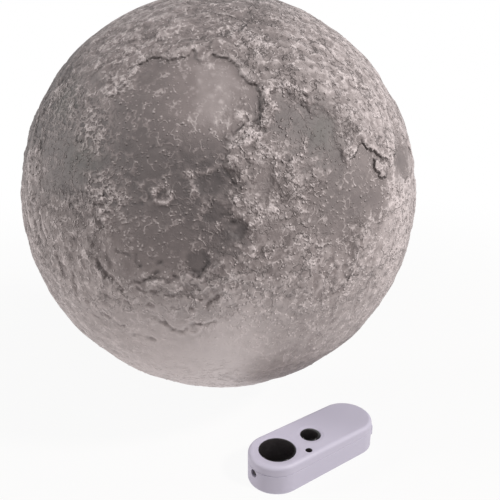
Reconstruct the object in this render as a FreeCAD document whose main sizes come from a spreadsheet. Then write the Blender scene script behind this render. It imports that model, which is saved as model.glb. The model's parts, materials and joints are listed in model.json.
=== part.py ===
"""Wall-hung moon lamp with its two-button remote control.

The lamp's frame: the wall is the plane y = 0 and the lamp stands out of it towards -Y, with +Z up.
The origin is the centre of the flat back. The remote lies on a shelf below the lamp.
The remote has its own frame: x along it (its buttons at the -x end), y across and z up from the
shelf. Each of its pieces is made there and then laid on the shelf by its placement.
"""
import FreeCAD, Part
import Sketcher

import math
import os
import re

V = FreeCAD.Vector
X_AXIS = V(1, 0, 0)
Y_AXIS = V(0, 1, 0)
Z_AXIS = V(0, 0, 1)

SIZES = {
    # dome: a moulded half-sphere whose rim stands off the wall
    "dome_radius": 127.0,
    "dome_wall": 2.0,
    "rim_standoff": 8.0,
    "relief_depth": 0.8,
    "map_scale": 0.868,
    "map_tilt": -5.7,
    "skin_sides": 56,
    "skin_bands": 15,
    "core_sides": 32,
    "core_bands": 8,
    # screw bosses inside the dome's rim
    "boss_inset": 10.0,
    "boss_radius": 3.6,
    "boss_length": 13.0,
    "boss_web": 1.8,
    "boss_web_start": 3.2,
    # rear cover
    "cover_inset": 15.0,
    "flange_inset": 1.0,
    "cover_wall": 2.4,
    "flange_wall": 2.5,
    # keyhole that hangs the lamp on a screw
    "keyhole_inset": 43.0,
    "keyhole_radius": 4.75,
    "keyhole_slot": 5.0,
    "keyhole_rise": 11.0,
    # battery bay for four AA cells lying side by side
    "aa_radius": 7.1,
    "aa_length": 49.2,
    "aa_pip_radius": 2.75,
    "aa_pip_length": 1.1,
    "aa_pitch": 15.0,
    "aa_end_room": 5.2,
    "bay_inset": 81.0,
    "bay_depth": 17.6,
    "bay_wall": 1.8,
    "bay_ledge": 2.6,
    "cell_clearance": 0.3,
    "aa_contact_size": 10.0,
    "aa_tongue_width": 5.0,
    # battery door
    "door_wall": 2.0,
    "door_clearance": 0.35,
    "door_tab_width": 9.0,
    "door_tab_reach": 2.4,
    "door_tab_spread": 20.0,
    "door_tab_room": 7.0,
    "door_tab_drop": 1.9,
    "door_tab_wall": 1.3,
    "door_tab_root": 3.0,
    "door_tab_foot": 2.0,
    "door_proud_gap": 0.1,
    "tab_slot_play": 0.5,
    "tab_slot_end": 0.8,
    "latch_width": 14.0,
    "latch_length": 9.0,
    "latch_slit": 1.2,
    "finger_notch": 8.0,
    "notch_depth": 1.2,
    # light baffle
    "baffle_standoff": 22.0,
    "baffle_inset": 16.0,
    "baffle_wall": 2.0,
    "column_apothem": 20.0,
    "column_half": 58.0,
    "column_wall": 1.8,
    "fin_wall": 1.6,
    "fin_inset": 6.5,
    "post_x": 78.0,
    "post_z": 56.0,
    "post_radius": 3.6,
    # screws
    "screw_radius": 1.5,
    "screw_fit": 0.06,
    "screw_play": 0.25,
    "screw_length": 9.0,
    "head_radius": 2.9,
    "head_height": 1.9,
    # boards
    "board_wall": 1.6,
    "strip_width": 8.4,
    "strip_length": 104.0,
    "strip_wall": 1.0,
    "led_size": 5.0,
    "led_height": 1.5,
    "led_spacing": 52.0,
    "main_board_width": 84.0,
    "main_board_height": 44.0,
    "main_board_centre": 32.0,
    "main_board_standoff": 7.0,
    "board_post_x": 36.0,
    "board_post_z": 16.0,
    "cable_width": 8.0,
    "cable_wall": 0.5,
    "cable_drop": 6.0,
    "cable_room": 2.6,
    "plug_x": -6.0,
    "plug_drop": 14.0,
    "plug_depth": 5.0,
    # infrared receiver, on the front of the baffle
    "receiver_x": 50.0,
    "receiver_inset": 49.0,
    "receiver_board_width": 14.0,
    "receiver_board_height": 16.0,
    "receiver_width": 6.0,
    "receiver_height": 7.0,
    "receiver_depth": 4.0,
    # power switch in the back
    "switch_inset": 30.0,
    "switch_width": 19.0,
    "switch_height": 9.0,
    "switch_depth": 7.0,
    "switch_window": 11.0,
    "switch_well": 3.0,
    "knob_width": 4.0,
    "knob_height": 3.6,
    "knob_sunk": 0.6,
    "knob_groove": 0.5,
    "knob_groove_pitch": 1.1,
    "knob_groove_depth": 0.5,
    "switch_gap": 0.3,
    # where the remote lies
    "remote_x": 47.6,
    "remote_y": -91.5,
    "remote_drop": 152.0,
    "remote_turn": 29.0,
    # remote's casing
    "remote_length": 91.8,
    "remote_width": 34.1,
    "remote_height": 18.7,
    "remote_wall": 1.8,
    "parting_height": 12.2,
    "parting_gap": 0.25,
    "tongue_height": 1.2,
    "tongue_wall": 0.9,
    "tongue_fit": 0.1,
    "top_edge_bevel": 2.0,
    "top_edge_soft": 0.5,
    "foot_edge_bevel": 0.8,
    "emitter_height": 9.6,
    "emitter_radius": 2.5,
    # remote's buttons
    "big_button_inset": 17.8,
    "big_button_radius": 11.1,
    "small_button_x": -2.2,
    "small_button_y": -0.7,
    "small_button_radius": 6.2,
    "button_clearance": 0.25,
    "button_rise": 0.9,
    "button_flange": 1.2,
    "button_flange_wall": 1.4,
    "button_travel": 0.8,
    "button_crown": 1.3,
    "button_crown_flat": 0.5,
    "button_stem": 2.4,
    "flange_gap": 0.3,
    "dish_margin": 2.6,
    "dish_depth": 0.5,
    "indicator_x": -13.6,
    "indicator_y": -12.1,
    "indicator_radius": 2.1,
    "indicator_sunk": 0.1,
    "indicator_fit": 0.05,
    # inside the remote
    "remote_board_top": 12.4,
    "board_cell_gap": 0.5,
    "remote_board_width": 28.4,
    "remote_board_start": 4.2,
    "remote_board_corner": 11.7,
    "key_size": 4.5,
    "key_height": 1.4,
    "key_edge_gap": 0.15,
    "aaa_radius": 5.2,
    "aaa_length": 43.4,
    "aaa_pip_radius": 1.9,
    "aaa_pip_length": 0.9,
    "aaa_pitch": 11.0,
    "aaa_tail_room": 5.4,
    "aaa_near_gap": 1.8,
    "aaa_far_gap": 1.2,
    "aaa_contact_width": 7.2,
    "aaa_contact_height": 8.6,
    "contact_wall": 0.4,
    "remote_door_start": 3.0,
    "remote_door_width": 24.0,
    "remote_door_lip": 1.0,
    "remote_screw_x": -7.6,
    "remote_screw_y": 13.0,
    "remote_boss_radius": 2.2,
    "small_screw_radius": 1.1,
    "small_head_radius": 2.1,
    "small_head_height": 1.5,
    "screw_sunk": 0.3,
    "screw_bite": 3.2,
}

# places and sizes that keep their clearance from a driving size
FOLLOWING = {
    "boss_ring_radius": "(dome_radius - boss_inset)",
    "cover_radius": "(dome_radius - cover_inset)",
    "flange_radius": "(dome_radius - flange_inset)",
    "baffle_radius": "(dome_radius - baffle_inset)",
    "fin_radius": "(dome_radius - fin_inset)",
    "keyhole_height": "(dome_radius - keyhole_inset)",
    "bay_centre": "(bay_inset - dome_radius)",
    "switch_centre": "(switch_inset - dome_radius)",
    "receiver_centre": "(receiver_inset - dome_radius)",
    "big_button_x": "(big_button_inset - remote_length / 2)",
    "aaa_centre": "(remote_length / 2 - remote_wall - aaa_tail_room - aaa_length / 2)",
    "remote_board_end": "(aaa_centre - aaa_length / 2 - board_cell_gap)",
    "small_key_x": "(remote_board_end - key_size / 2 - key_edge_gap)",
}

doc = FreeCAD.newDocument("moon_lamp")
sheet = doc.addObject("Spreadsheet::Sheet", "sizes")
for row, (alias, value) in enumerate(SIZES.items(), start=1):
    sheet.set("A%d" % row, alias)
    sheet.set("B%d" % row, str(value))
    sheet.setAlias("B%d" % row, alias)
doc.recompute()

nodes = []


def size(alias):
    """A size as a plain number, for the few shapes that are worked out in code."""
    return float(sheet.get(alias))


def rule(text):
    """A formula in sizes, as an expression on the sheet's cells."""
    def cell_name(found):
        word = found.group()
        if word in FOLLOWING:
            return rule(FOLLOWING[word])
        return "sizes." + word if word in SIZES else word
    return re.sub(r"[a-z][a-z0-9_]*", cell_name, text)


def bind(thing, **rules):
    """Tie properties of an object to formulas in the sizes."""
    for prop, text in rules.items():
        thing.setExpression(prop, rule(text))
    return thing


def at(thing, x="0", y="0", z="0", about=Z_AXIS, turn="0"):
    """Place an object by formulas: a turn about one axis through its own origin, then a shift."""
    thing.Placement = FreeCAD.Placement(V(), FreeCAD.Rotation(about, 1.0))
    thing.setExpression(".Placement.Rotation.Angle", "(%s) * 1 deg" % rule(turn))
    for axis, text in zip("xyz", (x, y, z)):
        thing.setExpression(".Placement.Base." + axis, rule(text))
    return thing


def box(name, x, y, z):
    """A block from three pairs of formulas: its low side and its size along X, Y and Z."""
    block = bind(doc.addObject("Part::Box", name), Length=x[1], Width=y[1], Height=z[1])
    return at(block, x[0], y[0], z[0])


def rod(name, x, y, z, radius, length, about=Z_AXIS, turn="0"):
    """A round bar that starts at a point and runs along +Z, or along where a turn takes +Z."""
    bar = bind(doc.addObject("Part::Cylinder", name), Radius=radius, Height=length)
    return at(bar, x, y, z, about, turn)


def rod_out(name, x, y, z, radius, length):
    """A round bar that runs away from the wall, along -Y."""
    return rod(name, x, y, z, radius, length, X_AXIS, "90")


def prism(name, x, y, z, radius, length, about=Z_AXIS, turn="0", sides=8):
    """A many-sided bar, for small round pieces and bores that repeat out of sight."""
    bar = bind(doc.addObject("Part::Prism", name), Circumradius=radius, Height=length)
    bar.Polygon = sides
    return at(bar, x, y, z, about, turn)


def prism_out(name, x, y, z, radius, length, sides=8):
    """A many-sided bar that runs away from the wall, along -Y."""
    return prism(name, x, y, z, radius, length, X_AXIS, "90", sides)


SHANK_BORE = "(screw_radius + screw_fit)"
LOOSE_BORE = "(screw_radius + screw_play)"
FAR = "(2 * dome_radius)"


def fuse(name, pieces):
    joined = doc.addObject("Part::MultiFuse", name)
    joined.Shapes = pieces
    joined.Refine = True
    return joined


def common(name, pieces):
    shared = doc.addObject("Part::MultiCommon", name)
    shared.Shapes = pieces
    return shared


def cut(name, base, tool):
    left = doc.addObject("Part::Cut", name)
    left.Base = base
    left.Tool = tool
    left.Refine = True
    return left


def group(name, pieces):
    """Like pieces that share one file as separate solids."""
    together = doc.addObject("Part::Compound", name)
    together.Links = pieces
    return together


def node(thing, label):
    thing.Label = label
    nodes.append(thing)
    return thing


def on_shelf(thing):
    """Lay a piece of the remote on the shelf."""
    return at(thing, "remote_x", "remote_y", "-remote_drop", Z_AXIS, "remote_turn")


def plane(body, role):
    return next(feature for feature in body.Origin.OriginFeatures if feature.Role == role)


def sketch_on(body, role, name, height="0"):
    """An empty sketch on one of the body's own planes, shifted along the plane's normal."""
    sketch = body.newObject("Sketcher::SketchObject", name)
    sketch.AttachmentSupport = [(plane(body, role), "")]
    sketch.MapMode = "FlatFace"
    sketch.setExpression(".AttachmentOffset.Base.z", rule(height))
    return sketch


def hold_point(sketch, line, end, x, y):
    """Hold a point of a sketch at formulas for its two coordinates."""
    now = sketch.getPoint(line, end)
    for kind, text, value, axis in (("DistanceX", x, now.x, -2), ("DistanceY", y, now.y, -1)):
        if text == "0":
            sketch.addConstraint(Sketcher.Constraint("PointOnObject", line, end, axis))
        else:
            index = sketch.addConstraint(Sketcher.Constraint(kind, -1, 1, line, end, value))
            sketch.setExpression("Constraints[%d]" % index, rule(text))


def outline(sketch, corners):
    """A closed outline of straight lines through corners, each a pair of formulas."""
    count = len(corners)
    start = [V(math.cos(math.tau * k / count), math.sin(math.tau * k / count)) * 40 for k in range(count)]
    for k in range(count):
        sketch.addGeometry(Part.LineSegment(start[k], start[(k + 1) % count]), False)
    for k in range(count):
        sketch.addConstraint(Sketcher.Constraint("Coincident", k, 2, (k + 1) % count, 1))
    for k, (x, y) in enumerate(corners):
        hold_point(sketch, k, 1, x, y)
    return sketch


def rectangle(sketch, x, y):
    """A rectangle from two pairs of formulas: its low and high side each way."""
    return outline(sketch, [(x[0], y[0]), (x[1], y[0]), (x[1], y[1]), (x[0], y[1])])


def slot(sketch, half_length, half_width):
    """A long outline with half-round ends, from formulas for half its length and half its width."""
    middle = 25.0
    radius = 15.0
    quarter = math.pi / 2
    right = Part.Circle(V(middle, 0, 0), Z_AXIS, radius)
    left = Part.Circle(V(-middle, 0, 0), Z_AXIS, radius)
    sketch.addGeometry(Part.ArcOfCircle(right, -quarter, quarter), False)
    sketch.addGeometry(Part.LineSegment(V(middle, radius, 0), V(-middle, radius, 0)), False)
    sketch.addGeometry(Part.ArcOfCircle(left, quarter, 3 * quarter), False)
    sketch.addGeometry(Part.LineSegment(V(-middle, -radius, 0), V(middle, -radius, 0)), False)
    for first, first_end, second, second_end in ((0, 2, 1, 1), (1, 2, 2, 1), (2, 2, 3, 1), (3, 2, 0, 1)):
        sketch.addConstraint(Sketcher.Constraint("Tangent", first, first_end, second, second_end))
    sketch.addConstraint(Sketcher.Constraint("Equal", 0, 2))
    for arc, side in ((0, ""), (2, "-")):
        hold_point(sketch, arc, 3, "%s(%s - (%s))" % (side, half_length, half_width), "0")
    index = sketch.addConstraint(Sketcher.Constraint("Radius", 0, radius))
    sketch.setExpression("Constraints[%d]" % index, rule(half_width))
    return sketch


def new_body(name):
    return doc.addObject("PartDesign::Body", name)


def pad(body, sketch, length, back=False):
    feature = body.newObject("PartDesign::Pad", sketch.Name + "_pad")
    feature.Profile = sketch
    feature.Reversed = back
    bind(feature, Length=length)
    sketch.Visibility = False
    return feature


def pocket(body, sketch, length, back=False):
    """A pocket; its volume is compared, because one that points out of the solid cuts nothing."""
    doc.recompute()
    before = body.Shape.Volume
    feature = body.newObject("PartDesign::Pocket", sketch.Name + "_pocket")
    feature.Profile = sketch
    feature.Reversed = back
    bind(feature, Length=length)
    doc.recompute()
    if not body.Shape.Volume < before - 1e-6:
        raise RuntimeError("the pocket %s cuts nothing" % feature.Name)
    return feature


def revolve(body, sketch, axis):
    feature = body.newObject("PartDesign::Revolution", sketch.Name + "_turned")
    feature.Profile = sketch
    feature.ReferenceAxis = (sketch, [axis])
    feature.Angle = 360.0
    return feature


def bevel_edges(body, name, reach, wanted):
    """A bevel on the edges of a body that a test on each edge picks."""
    doc.recompute()
    tip = body.Tip
    picked = ["Edge%d" % (k + 1) for k, edge in enumerate(tip.Shape.Edges) if wanted(edge)]
    feature = body.newObject("PartDesign::Chamfer", name)
    feature.Base = (tip, picked)
    return bind(feature, Size=reach)


# ---------------------------------------------------------------- moon_dome
CORNER_TURNS = (45, 135, 225, 315)


# The lunar plains that the relief sinks: latitude, longitude and radius in degrees. Their shores
# slope over a few degrees.
SHORE = 4.0
PLAINS = (
    (34, -17, 17),    # Imbrium
    (27, 18, 10),     # Serenitatis
    (9, 31, 12),      # Tranquillitatis
    (17, 59, 8),      # Crisium
    (-6, 51, 10),     # Fecunditatis
    (-15, 35, 6),     # Nectaris
    (-24, -39, 7),    # Humorum
    (-20, -15, 10),   # Nubium
    (-10, -24, 8),    # Cognitum
    (5, -33, 12),     # Insularum
    (20, -58, 17),    # Procellarum
    (0, -52, 12),     # Procellarum, south
    (42, -56, 12),    # Procellarum, north
    (57, -25, 6),     # Frigoris, west
    (58, 5, 6),       # Frigoris, middle
    (55, 30, 6),      # Frigoris, east
)


def face(*corners):
    return Part.Face(Part.makePolygon(list(corners) + [corners[0]]))


def facetted_half_ball(radius, sides, bands, sink=None):
    """A half-ball of flats round the -Y axis. Its corners lie on a sphere or, where the function
    sink gives a depth for a direction, below it."""
    def corner(band, k):
        slope = math.pi / 2 * band / bands
        turn = math.tau * k / sides
        way = V(math.cos(slope) * math.cos(turn), -math.sin(slope), math.cos(slope) * math.sin(turn))
        return way * (radius - (sink(way) if sink and band else 0))

    rings = [[corner(band, k) for k in range(sides)] for band in range(bands)]
    pole = corner(bands, 0)
    faces = [face(*rings[0])]
    for low, high in zip(rings, rings[1:]):
        for k in range(sides):
            j = (k + 1) % sides
            if sink:
                faces.append(face(low[k], low[j], high[j]))
                faces.append(face(low[k], high[j], high[k]))
            else:
                faces.append(face(low[k], low[j], high[j], high[k]))
    for k in range(sides):
        faces.append(face(rings[-1][k], rings[-1][(k + 1) % sides], pole))
    return Part.makeSolid(Part.makeShell(faces))


def plain_depth(way):
    """How deep the relief lies below the dome's sphere in a direction from its centre."""
    spread = math.acos(max(-1.0, min(1.0, -way.y))) / size("map_scale")
    side = math.atan2(way.z, way.x)
    tilt = math.radians(size("map_tilt"))
    east = math.sin(spread) * math.cos(side)
    ahead = math.cos(spread) * math.cos(tilt) - math.sin(spread) * math.sin(side) * math.sin(tilt)
    north = math.sin(spread) * math.sin(side) * math.cos(tilt) + math.cos(spread) * math.sin(tilt)
    here = V(east, ahead, north)
    depth = 0.0
    for latitude, longitude, reach in PLAINS:
        lat = math.radians(latitude)
        lon = math.radians(longitude)
        middle = V(math.cos(lat) * math.sin(lon), math.cos(lat) * math.cos(lon), math.sin(lat))
        apart = math.degrees(here.getAngle(middle))
        depth = max(depth, min(1.0, max(0.0, (reach + SHORE / 2 - apart) / SHORE)))
    return size("relief_depth") * depth


def make_dome():
    outer = facetted_half_ball(size("dome_radius"), int(size("skin_sides")), int(size("skin_bands")),
                               plain_depth)
    inner = facetted_half_ball(size("dome_radius") - size("dome_wall") - size("relief_depth"),
                               int(size("core_sides")), int(size("core_bands")))
    skin = doc.addObject("Part::Feature", "dome_shell")
    skin.Shape = outer.cut(inner)
    skin.Placement = FreeCAD.Placement(V(0, -size("rim_standoff"), 0), FreeCAD.Rotation())
    pieces = [skin]
    bores = []
    for turn in CORNER_TURNS:
        x = "boss_ring_radius * cos(%d deg)" % turn
        z = "boss_ring_radius * sin(%d deg)" % turn
        pieces.append(prism_out("boss_%d" % turn, x, "-rim_standoff", z, "boss_radius", "boss_length"))
        bores.append(prism_out("boss_bore_%d" % turn, x, "-rim_standoff", z, SHANK_BORE, "boss_length - 2"))
        web = bind(doc.addObject("Part::Box", "boss_web_%d" % turn),
                   Length="dome_radius - boss_ring_radius - dome_wall",
                   Width="boss_length - boss_web_start", Height="boss_web")
        at(web, "%s + boss_web / 2 * sin(%d deg)" % (x, turn), "-rim_standoff - boss_length",
           "%s - boss_web / 2 * cos(%d deg)" % (z, turn), V(0, -1, 0), str(turn))
        pieces.append(web)
    body = fuse("dome_with_bosses", pieces)
    bored = cut("moon_dome", body, fuse("boss_bores", bores))
    for thing in (body, bored):
        thing.Refine = False
    return node(bored, "moon_dome")


# ---------------------------------------------------------------- rear_cover
POST_SPOTS = [(x, z) for x in ("-post_x", "post_x") for z in ("-post_z", "post_z")]
BOARD_POST_SPOTS = [("-board_post_x", "main_board_centre - board_post_z"),
                    ("board_post_x", "main_board_centre + board_post_z")]


def spot_name(name, x, z):
    return "%s_%s_%s" % (name, "left" if x.startswith("-") else "right", "low" if "-" in z else "high")


BAY_HALF_X = "(aa_length / 2 + aa_end_room)"
BAY_HALF_Z = "(aa_pitch * 2 + cell_clearance)"
DOOR_HALF_X = "(%s + bay_ledge)" % BAY_HALF_X
DOOR_HALF_Z = "(%s + bay_ledge)" % BAY_HALF_Z
DOOR_TOP = "(bay_centre + %s)" % DOOR_HALF_Z
BLOCK_HALF_X = "(%s + door_clearance + bay_wall)" % DOOR_HALF_X
BLOCK_HALF_Z = "(%s + door_clearance + bay_wall)" % DOOR_HALF_Z


def make_cover():
    body = new_body("cover_body")
    profile = outline(sketch_on(body, "XY_Plane", "cover_profile"), [
        ("0", "0"),
        ("cover_radius", "0"),
        ("cover_radius", "-(rim_standoff - flange_wall)"),
        ("flange_radius", "-(rim_standoff - flange_wall)"),
        ("flange_radius", "-rim_standoff"),
        ("0", "-rim_standoff"),
    ])
    revolve(body, profile, "V_Axis")
    hollow = prism_out("cover_hollow", "0", "-cover_wall", "0", "cover_radius - cover_wall", "rim_standoff",
                       sides=44)
    cup = cut("cover_cup", body, hollow)

    battery_bay = new_body("battery_bay_body")
    block = rectangle(sketch_on(battery_bay, "XZ_Plane", "bay_block"), ("-" + BLOCK_HALF_X, BLOCK_HALF_X),
                      ("bay_centre - " + BLOCK_HALF_Z, "bay_centre + " + BLOCK_HALF_Z))
    pad(battery_bay, block, "bay_depth + bay_wall")

    posts = [cup, battery_bay]
    for x, z in POST_SPOTS:
        posts.append(prism_out(spot_name("baffle_post", x, z), x, "-cover_wall / 2", z, "post_radius",
                               "baffle_standoff - cover_wall / 2"))
    for x, z in BOARD_POST_SPOTS:
        posts.append(prism_out(spot_name("board_post", x, z), x, "-cover_wall / 2", z, "post_radius",
                               "main_board_standoff - cover_wall / 2"))

    tools = [
        box("door_seat", ("-(%s + door_clearance)" % DOOR_HALF_X, "2 * (%s + door_clearance)" % DOOR_HALF_X),
            ("-door_wall", "door_wall + 1"),
            ("bay_centre - %s - door_clearance" % DOOR_HALF_Z, "2 * (%s + door_clearance)" % DOOR_HALF_Z)),
        box("battery_bay", ("-" + BAY_HALF_X, "2 * " + BAY_HALF_X), ("-bay_depth", "bay_depth + 1"),
            ("bay_centre - " + BAY_HALF_Z, "2 * " + BAY_HALF_Z)),
    ]
    for side in ("-1", "1"):
        tools.append(box("tab_slot_" + side.replace("-1", "left").replace("1", "right"),
                         ("%s * door_tab_spread - door_tab_width / 2 - tab_slot_play" % side,
                          "door_tab_width + 2 * tab_slot_play"),
                         ("-door_wall - door_tab_room", "door_tab_room"),
                         ("bay_centre + %s - door_proud_gap" % BAY_HALF_Z,
                          "bay_ledge + door_tab_reach + tab_slot_end")))
    tools.append(rod_out("keyhole_entry", "0", "1", "keyhole_height", "keyhole_radius", "cover_wall + 2"))
    tools.append(box("keyhole_run", ("-keyhole_slot / 2", "keyhole_slot"),
                     ("-cover_wall - 1", "cover_wall + 2"), ("keyhole_height", "keyhole_rise")))
    tools.append(rod_out("keyhole_end", "0", "1", "keyhole_height + keyhole_rise", "keyhole_slot / 2",
                         "cover_wall + 2"))
    tools.append(box("switch_window_cut", ("-switch_window / 2", "switch_window"),
                     ("-cover_wall - 1", "cover_wall + 2"),
                     ("switch_centre - knob_height / 2 - switch_gap", "knob_height + 2 * switch_gap")))
    tools.append(rod_out("finger_notch_cut", "0", "1",
                         "bay_centre - %s - door_clearance" % DOOR_HALF_Z, "finger_notch", "notch_depth + 1"))
    for turn in CORNER_TURNS:
        tools.append(prism_out("flange_hole_%d" % turn, "boss_ring_radius * cos(%d deg)" % turn, "0",
                               "boss_ring_radius * sin(%d deg)" % turn, LOOSE_BORE, "rim_standoff + 1"))
    for x, z in POST_SPOTS:
        tools.append(prism_out(spot_name("post_bore", x, z), x, "-(baffle_standoff - screw_length)", z,
                               SHANK_BORE, "screw_length + 1"))
    for x, z in BOARD_POST_SPOTS:
        tools.append(prism_out(spot_name("board_post_bore", x, z), x, "-(cover_wall + 0.6)", z,
                               SHANK_BORE, "main_board_standoff"))
    return node(cut("rear_cover", fuse("cover_with_posts", posts), fuse("cover_cuts", tools)), "rear_cover")


# ---------------------------------------------------------------- battery_door and cells
def make_door():
    body = new_body("door_body")
    panel = rectangle(sketch_on(body, "XZ_Plane", "door_panel"), ("-" + DOOR_HALF_X, DOOR_HALF_X),
                      ("bay_centre - " + DOOR_HALF_Z, DOOR_TOP))
    pad(body, panel, "door_wall - door_proud_gap")
    slits = [
        rectangle(sketch_on(body, "XZ_Plane", "latch_slit_left"),
                  ("-latch_width / 2 - latch_slit", "-latch_width / 2"),
                  ("bay_centre - %s - 1" % DOOR_HALF_Z, "bay_centre - %s + latch_length" % DOOR_HALF_Z)),
        rectangle(sketch_on(body, "XZ_Plane", "latch_slit_right"),
                  ("latch_width / 2", "latch_width / 2 + latch_slit"),
                  ("bay_centre - %s - 1" % DOOR_HALF_Z, "bay_centre - %s + latch_length" % DOOR_HALF_Z)),
    ]
    for slit in slits:
        pocket(body, slit, "door_wall + 1", back=True)
    pieces = [body]
    for side in ("-1", "1"):
        name = "door_tab_" + side.replace("-1", "left").replace("1", "right")
        low = "%s * door_tab_spread - door_tab_width / 2" % side
        pieces.append(box(name + "_foot", (low, "door_tab_width"),
                          ("-door_wall - door_tab_drop", "door_tab_foot"),
                          (DOOR_TOP + " - door_tab_root", "door_tab_root")))
        pieces.append(box(name, (low, "door_tab_width"), ("-door_wall - door_tab_drop", "door_tab_wall"),
                          (DOOR_TOP + " - door_tab_root", "door_tab_root + door_tab_reach")))
    return node(fuse("battery_door", pieces), "battery_door")


def cell(name, x, y, z, radius, length, pip_radius, pip_length, about, turn):
    """A dry cell: its can and the pip at its positive end, lying along the turned Z axis."""
    can = prism(name + "_can", "0", "0", "0", radius, length, sides=16)
    pip = prism(name + "_pip", "0", "0", length, pip_radius, pip_length)
    return at(fuse(name, [can, pip]), x, y, z, about, turn)


def make_aa_cells():
    depth = "-(bay_depth - cell_clearance - aa_radius)"
    for k in range(4):
        way = 1 if k % 2 else -1
        start = "%d * (aa_length / 2)" % -way
        height = "bay_centre + aa_pitch * %.1f" % (k - 1.5)
        name = "aa_cell_%d" % (k + 1)
        node(cell(name, start, depth, height, "aa_radius", "aa_length", "aa_pip_radius",
                  "aa_pip_length", Y_AXIS, str(90 * way)), name)
    springs = []
    plates = []
    for k in range(4):
        way = 1 if k % 2 else -1
        height = "bay_centre + aa_pitch * %.1f" % (k - 1.5)
        plate_x = "%s - contact_wall" % BAY_HALF_X if way > 0 else "-%s" % BAY_HALF_X
        plates.append(box("aa_plate_%d" % (k + 1), (plate_x, "contact_wall"),
                          (depth + " - aa_contact_size / 2", "aa_contact_size"),
                          (height + " - aa_contact_size / 2", "aa_contact_size")))
        back_x = "-%s" % BAY_HALF_X if way > 0 else "%s - contact_wall" % BAY_HALF_X
        leaf = box("aa_leaf_%d" % (k + 1), (back_x, "contact_wall"),
                   (depth + " - aa_contact_size / 2", "aa_contact_size"),
                   (height + " - aa_contact_size / 2", "aa_contact_size"))
        tongue_x = "-%s" % BAY_HALF_X if way > 0 else "%s - aa_end_room + cell_clearance" % BAY_HALF_X
        tongue = box("aa_tongue_%d" % (k + 1), (tongue_x, "aa_end_room - cell_clearance"),
                     (depth + " - aa_tongue_width / 2", "aa_tongue_width"),
                     (height + " - contact_wall / 2", "contact_wall"))
        springs.append(fuse("aa_spring_%d" % (k + 1), [leaf, tongue]))
    node(group("aa_spring_contacts", springs), "aa_spring_contacts")
    node(group("aa_plate_contacts", plates), "aa_plate_contacts")


# ---------------------------------------------------------------- light_baffle, its strips and LEDs
FACE_TURNS = (15, 45, 75, 105, 135, 165)
BAFFLE_FRONT = "(baffle_standoff + baffle_wall)"


def around_column(name, turn, low, thick, half_width, bottom, tall):
    """A block that stands on one flat of the column: its low side and thickness outwards, half its
    width along the flat, its bottom and its height. The column's axis lies in the baffle's front."""
    block = bind(doc.addObject("Part::Box", name), Length=thick, Width="2 * (%s)" % half_width, Height=tall)
    # a turn of -angle takes +X to the outward direction and +Y to the direction along the flat
    x = "(%s) * cos(%d deg) - (%s) * sin(%d deg)" % (low, turn, half_width, turn)
    y = "-%s - (%s) * sin(%d deg) - (%s) * cos(%d deg)" % (BAFFLE_FRONT, low, turn, half_width, turn)
    return at(block, x, y, bottom, Z_AXIS, "-%d" % turn)


def make_baffle():
    plate = prism_out("baffle_plate", "0", "-baffle_standoff", "0", "baffle_radius", "baffle_wall", sides=44)
    prisms = []
    for name, inset in (("column", "0"), ("column_hollow", "column_wall")):
        prisms.append(prism(name + "_prism", "0", "-" + BAFFLE_FRONT, "-(column_half - %s)" % inset,
                            "(column_apothem - %s) / cos(15 deg)" % inset, "2 * (column_half - %s)" % inset,
                            sides=12))
    ahead = box("ahead_of_plate", ("-" + FAR, "2 * " + FAR), ("-%s - baffle_standoff" % FAR, FAR),
                ("-" + FAR, "2 * " + FAR))
    column = common("column", [prisms[0], ahead])
    fins = []
    for turn in (30, 60, 90, 120, 150):
        fins.append(around_column("fin_%d" % turn, turn, "0", "fin_radius", "fin_wall / 2",
                                  "-fin_radius", "2 * fin_radius"))
    ball = doc.addObject("Part::Feature", "fin_ball")
    ball.Shape = facetted_half_ball(size("dome_radius") - size("fin_inset"), int(size("core_sides")), int(size("core_bands")))
    ball.Placement = FreeCAD.Placement(V(0, -size("rim_standoff"), 0), FreeCAD.Rotation())
    in_front = box("in_front_of_plate", ("-" + FAR, "2 * " + FAR), ("-%s - baffle_standoff" % FAR, FAR),
                   ("-" + FAR, "2 * " + FAR))
    trimmed = common("fins", [fuse("all_fins", fins), ball, in_front])
    solid = fuse("baffle_solid", [plate, column, trimmed])
    tools = [prisms[1]]
    for x, z in POST_SPOTS:
        tools.append(prism_out(spot_name("baffle_hole", x, z), x, "-(baffle_standoff - 1)", z, LOOSE_BORE,
                               "baffle_wall + 2"))
    return node(cut("light_baffle", solid, fuse("baffle_cuts", tools)), "light_baffle")


def make_strips():
    strips = []
    leds = []
    for k, turn in enumerate(FACE_TURNS):
        strips.append(around_column("strip_%d" % (k + 1), turn, "column_apothem", "strip_wall",
                                    "strip_width / 2", "-strip_length / 2", "strip_length"))
        for row in (-1, 1):
            leds.append(around_column("led_%d_%s" % (k + 1, "low" if row < 0 else "high"), turn,
                                      "column_apothem + strip_wall", "led_height", "led_size / 2",
                                      "%d * led_spacing / 2 - led_size / 2" % row, "led_size"))
    node(group("led_boards", strips), "led_boards")
    node(group("leds", leds), "leds")


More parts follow.
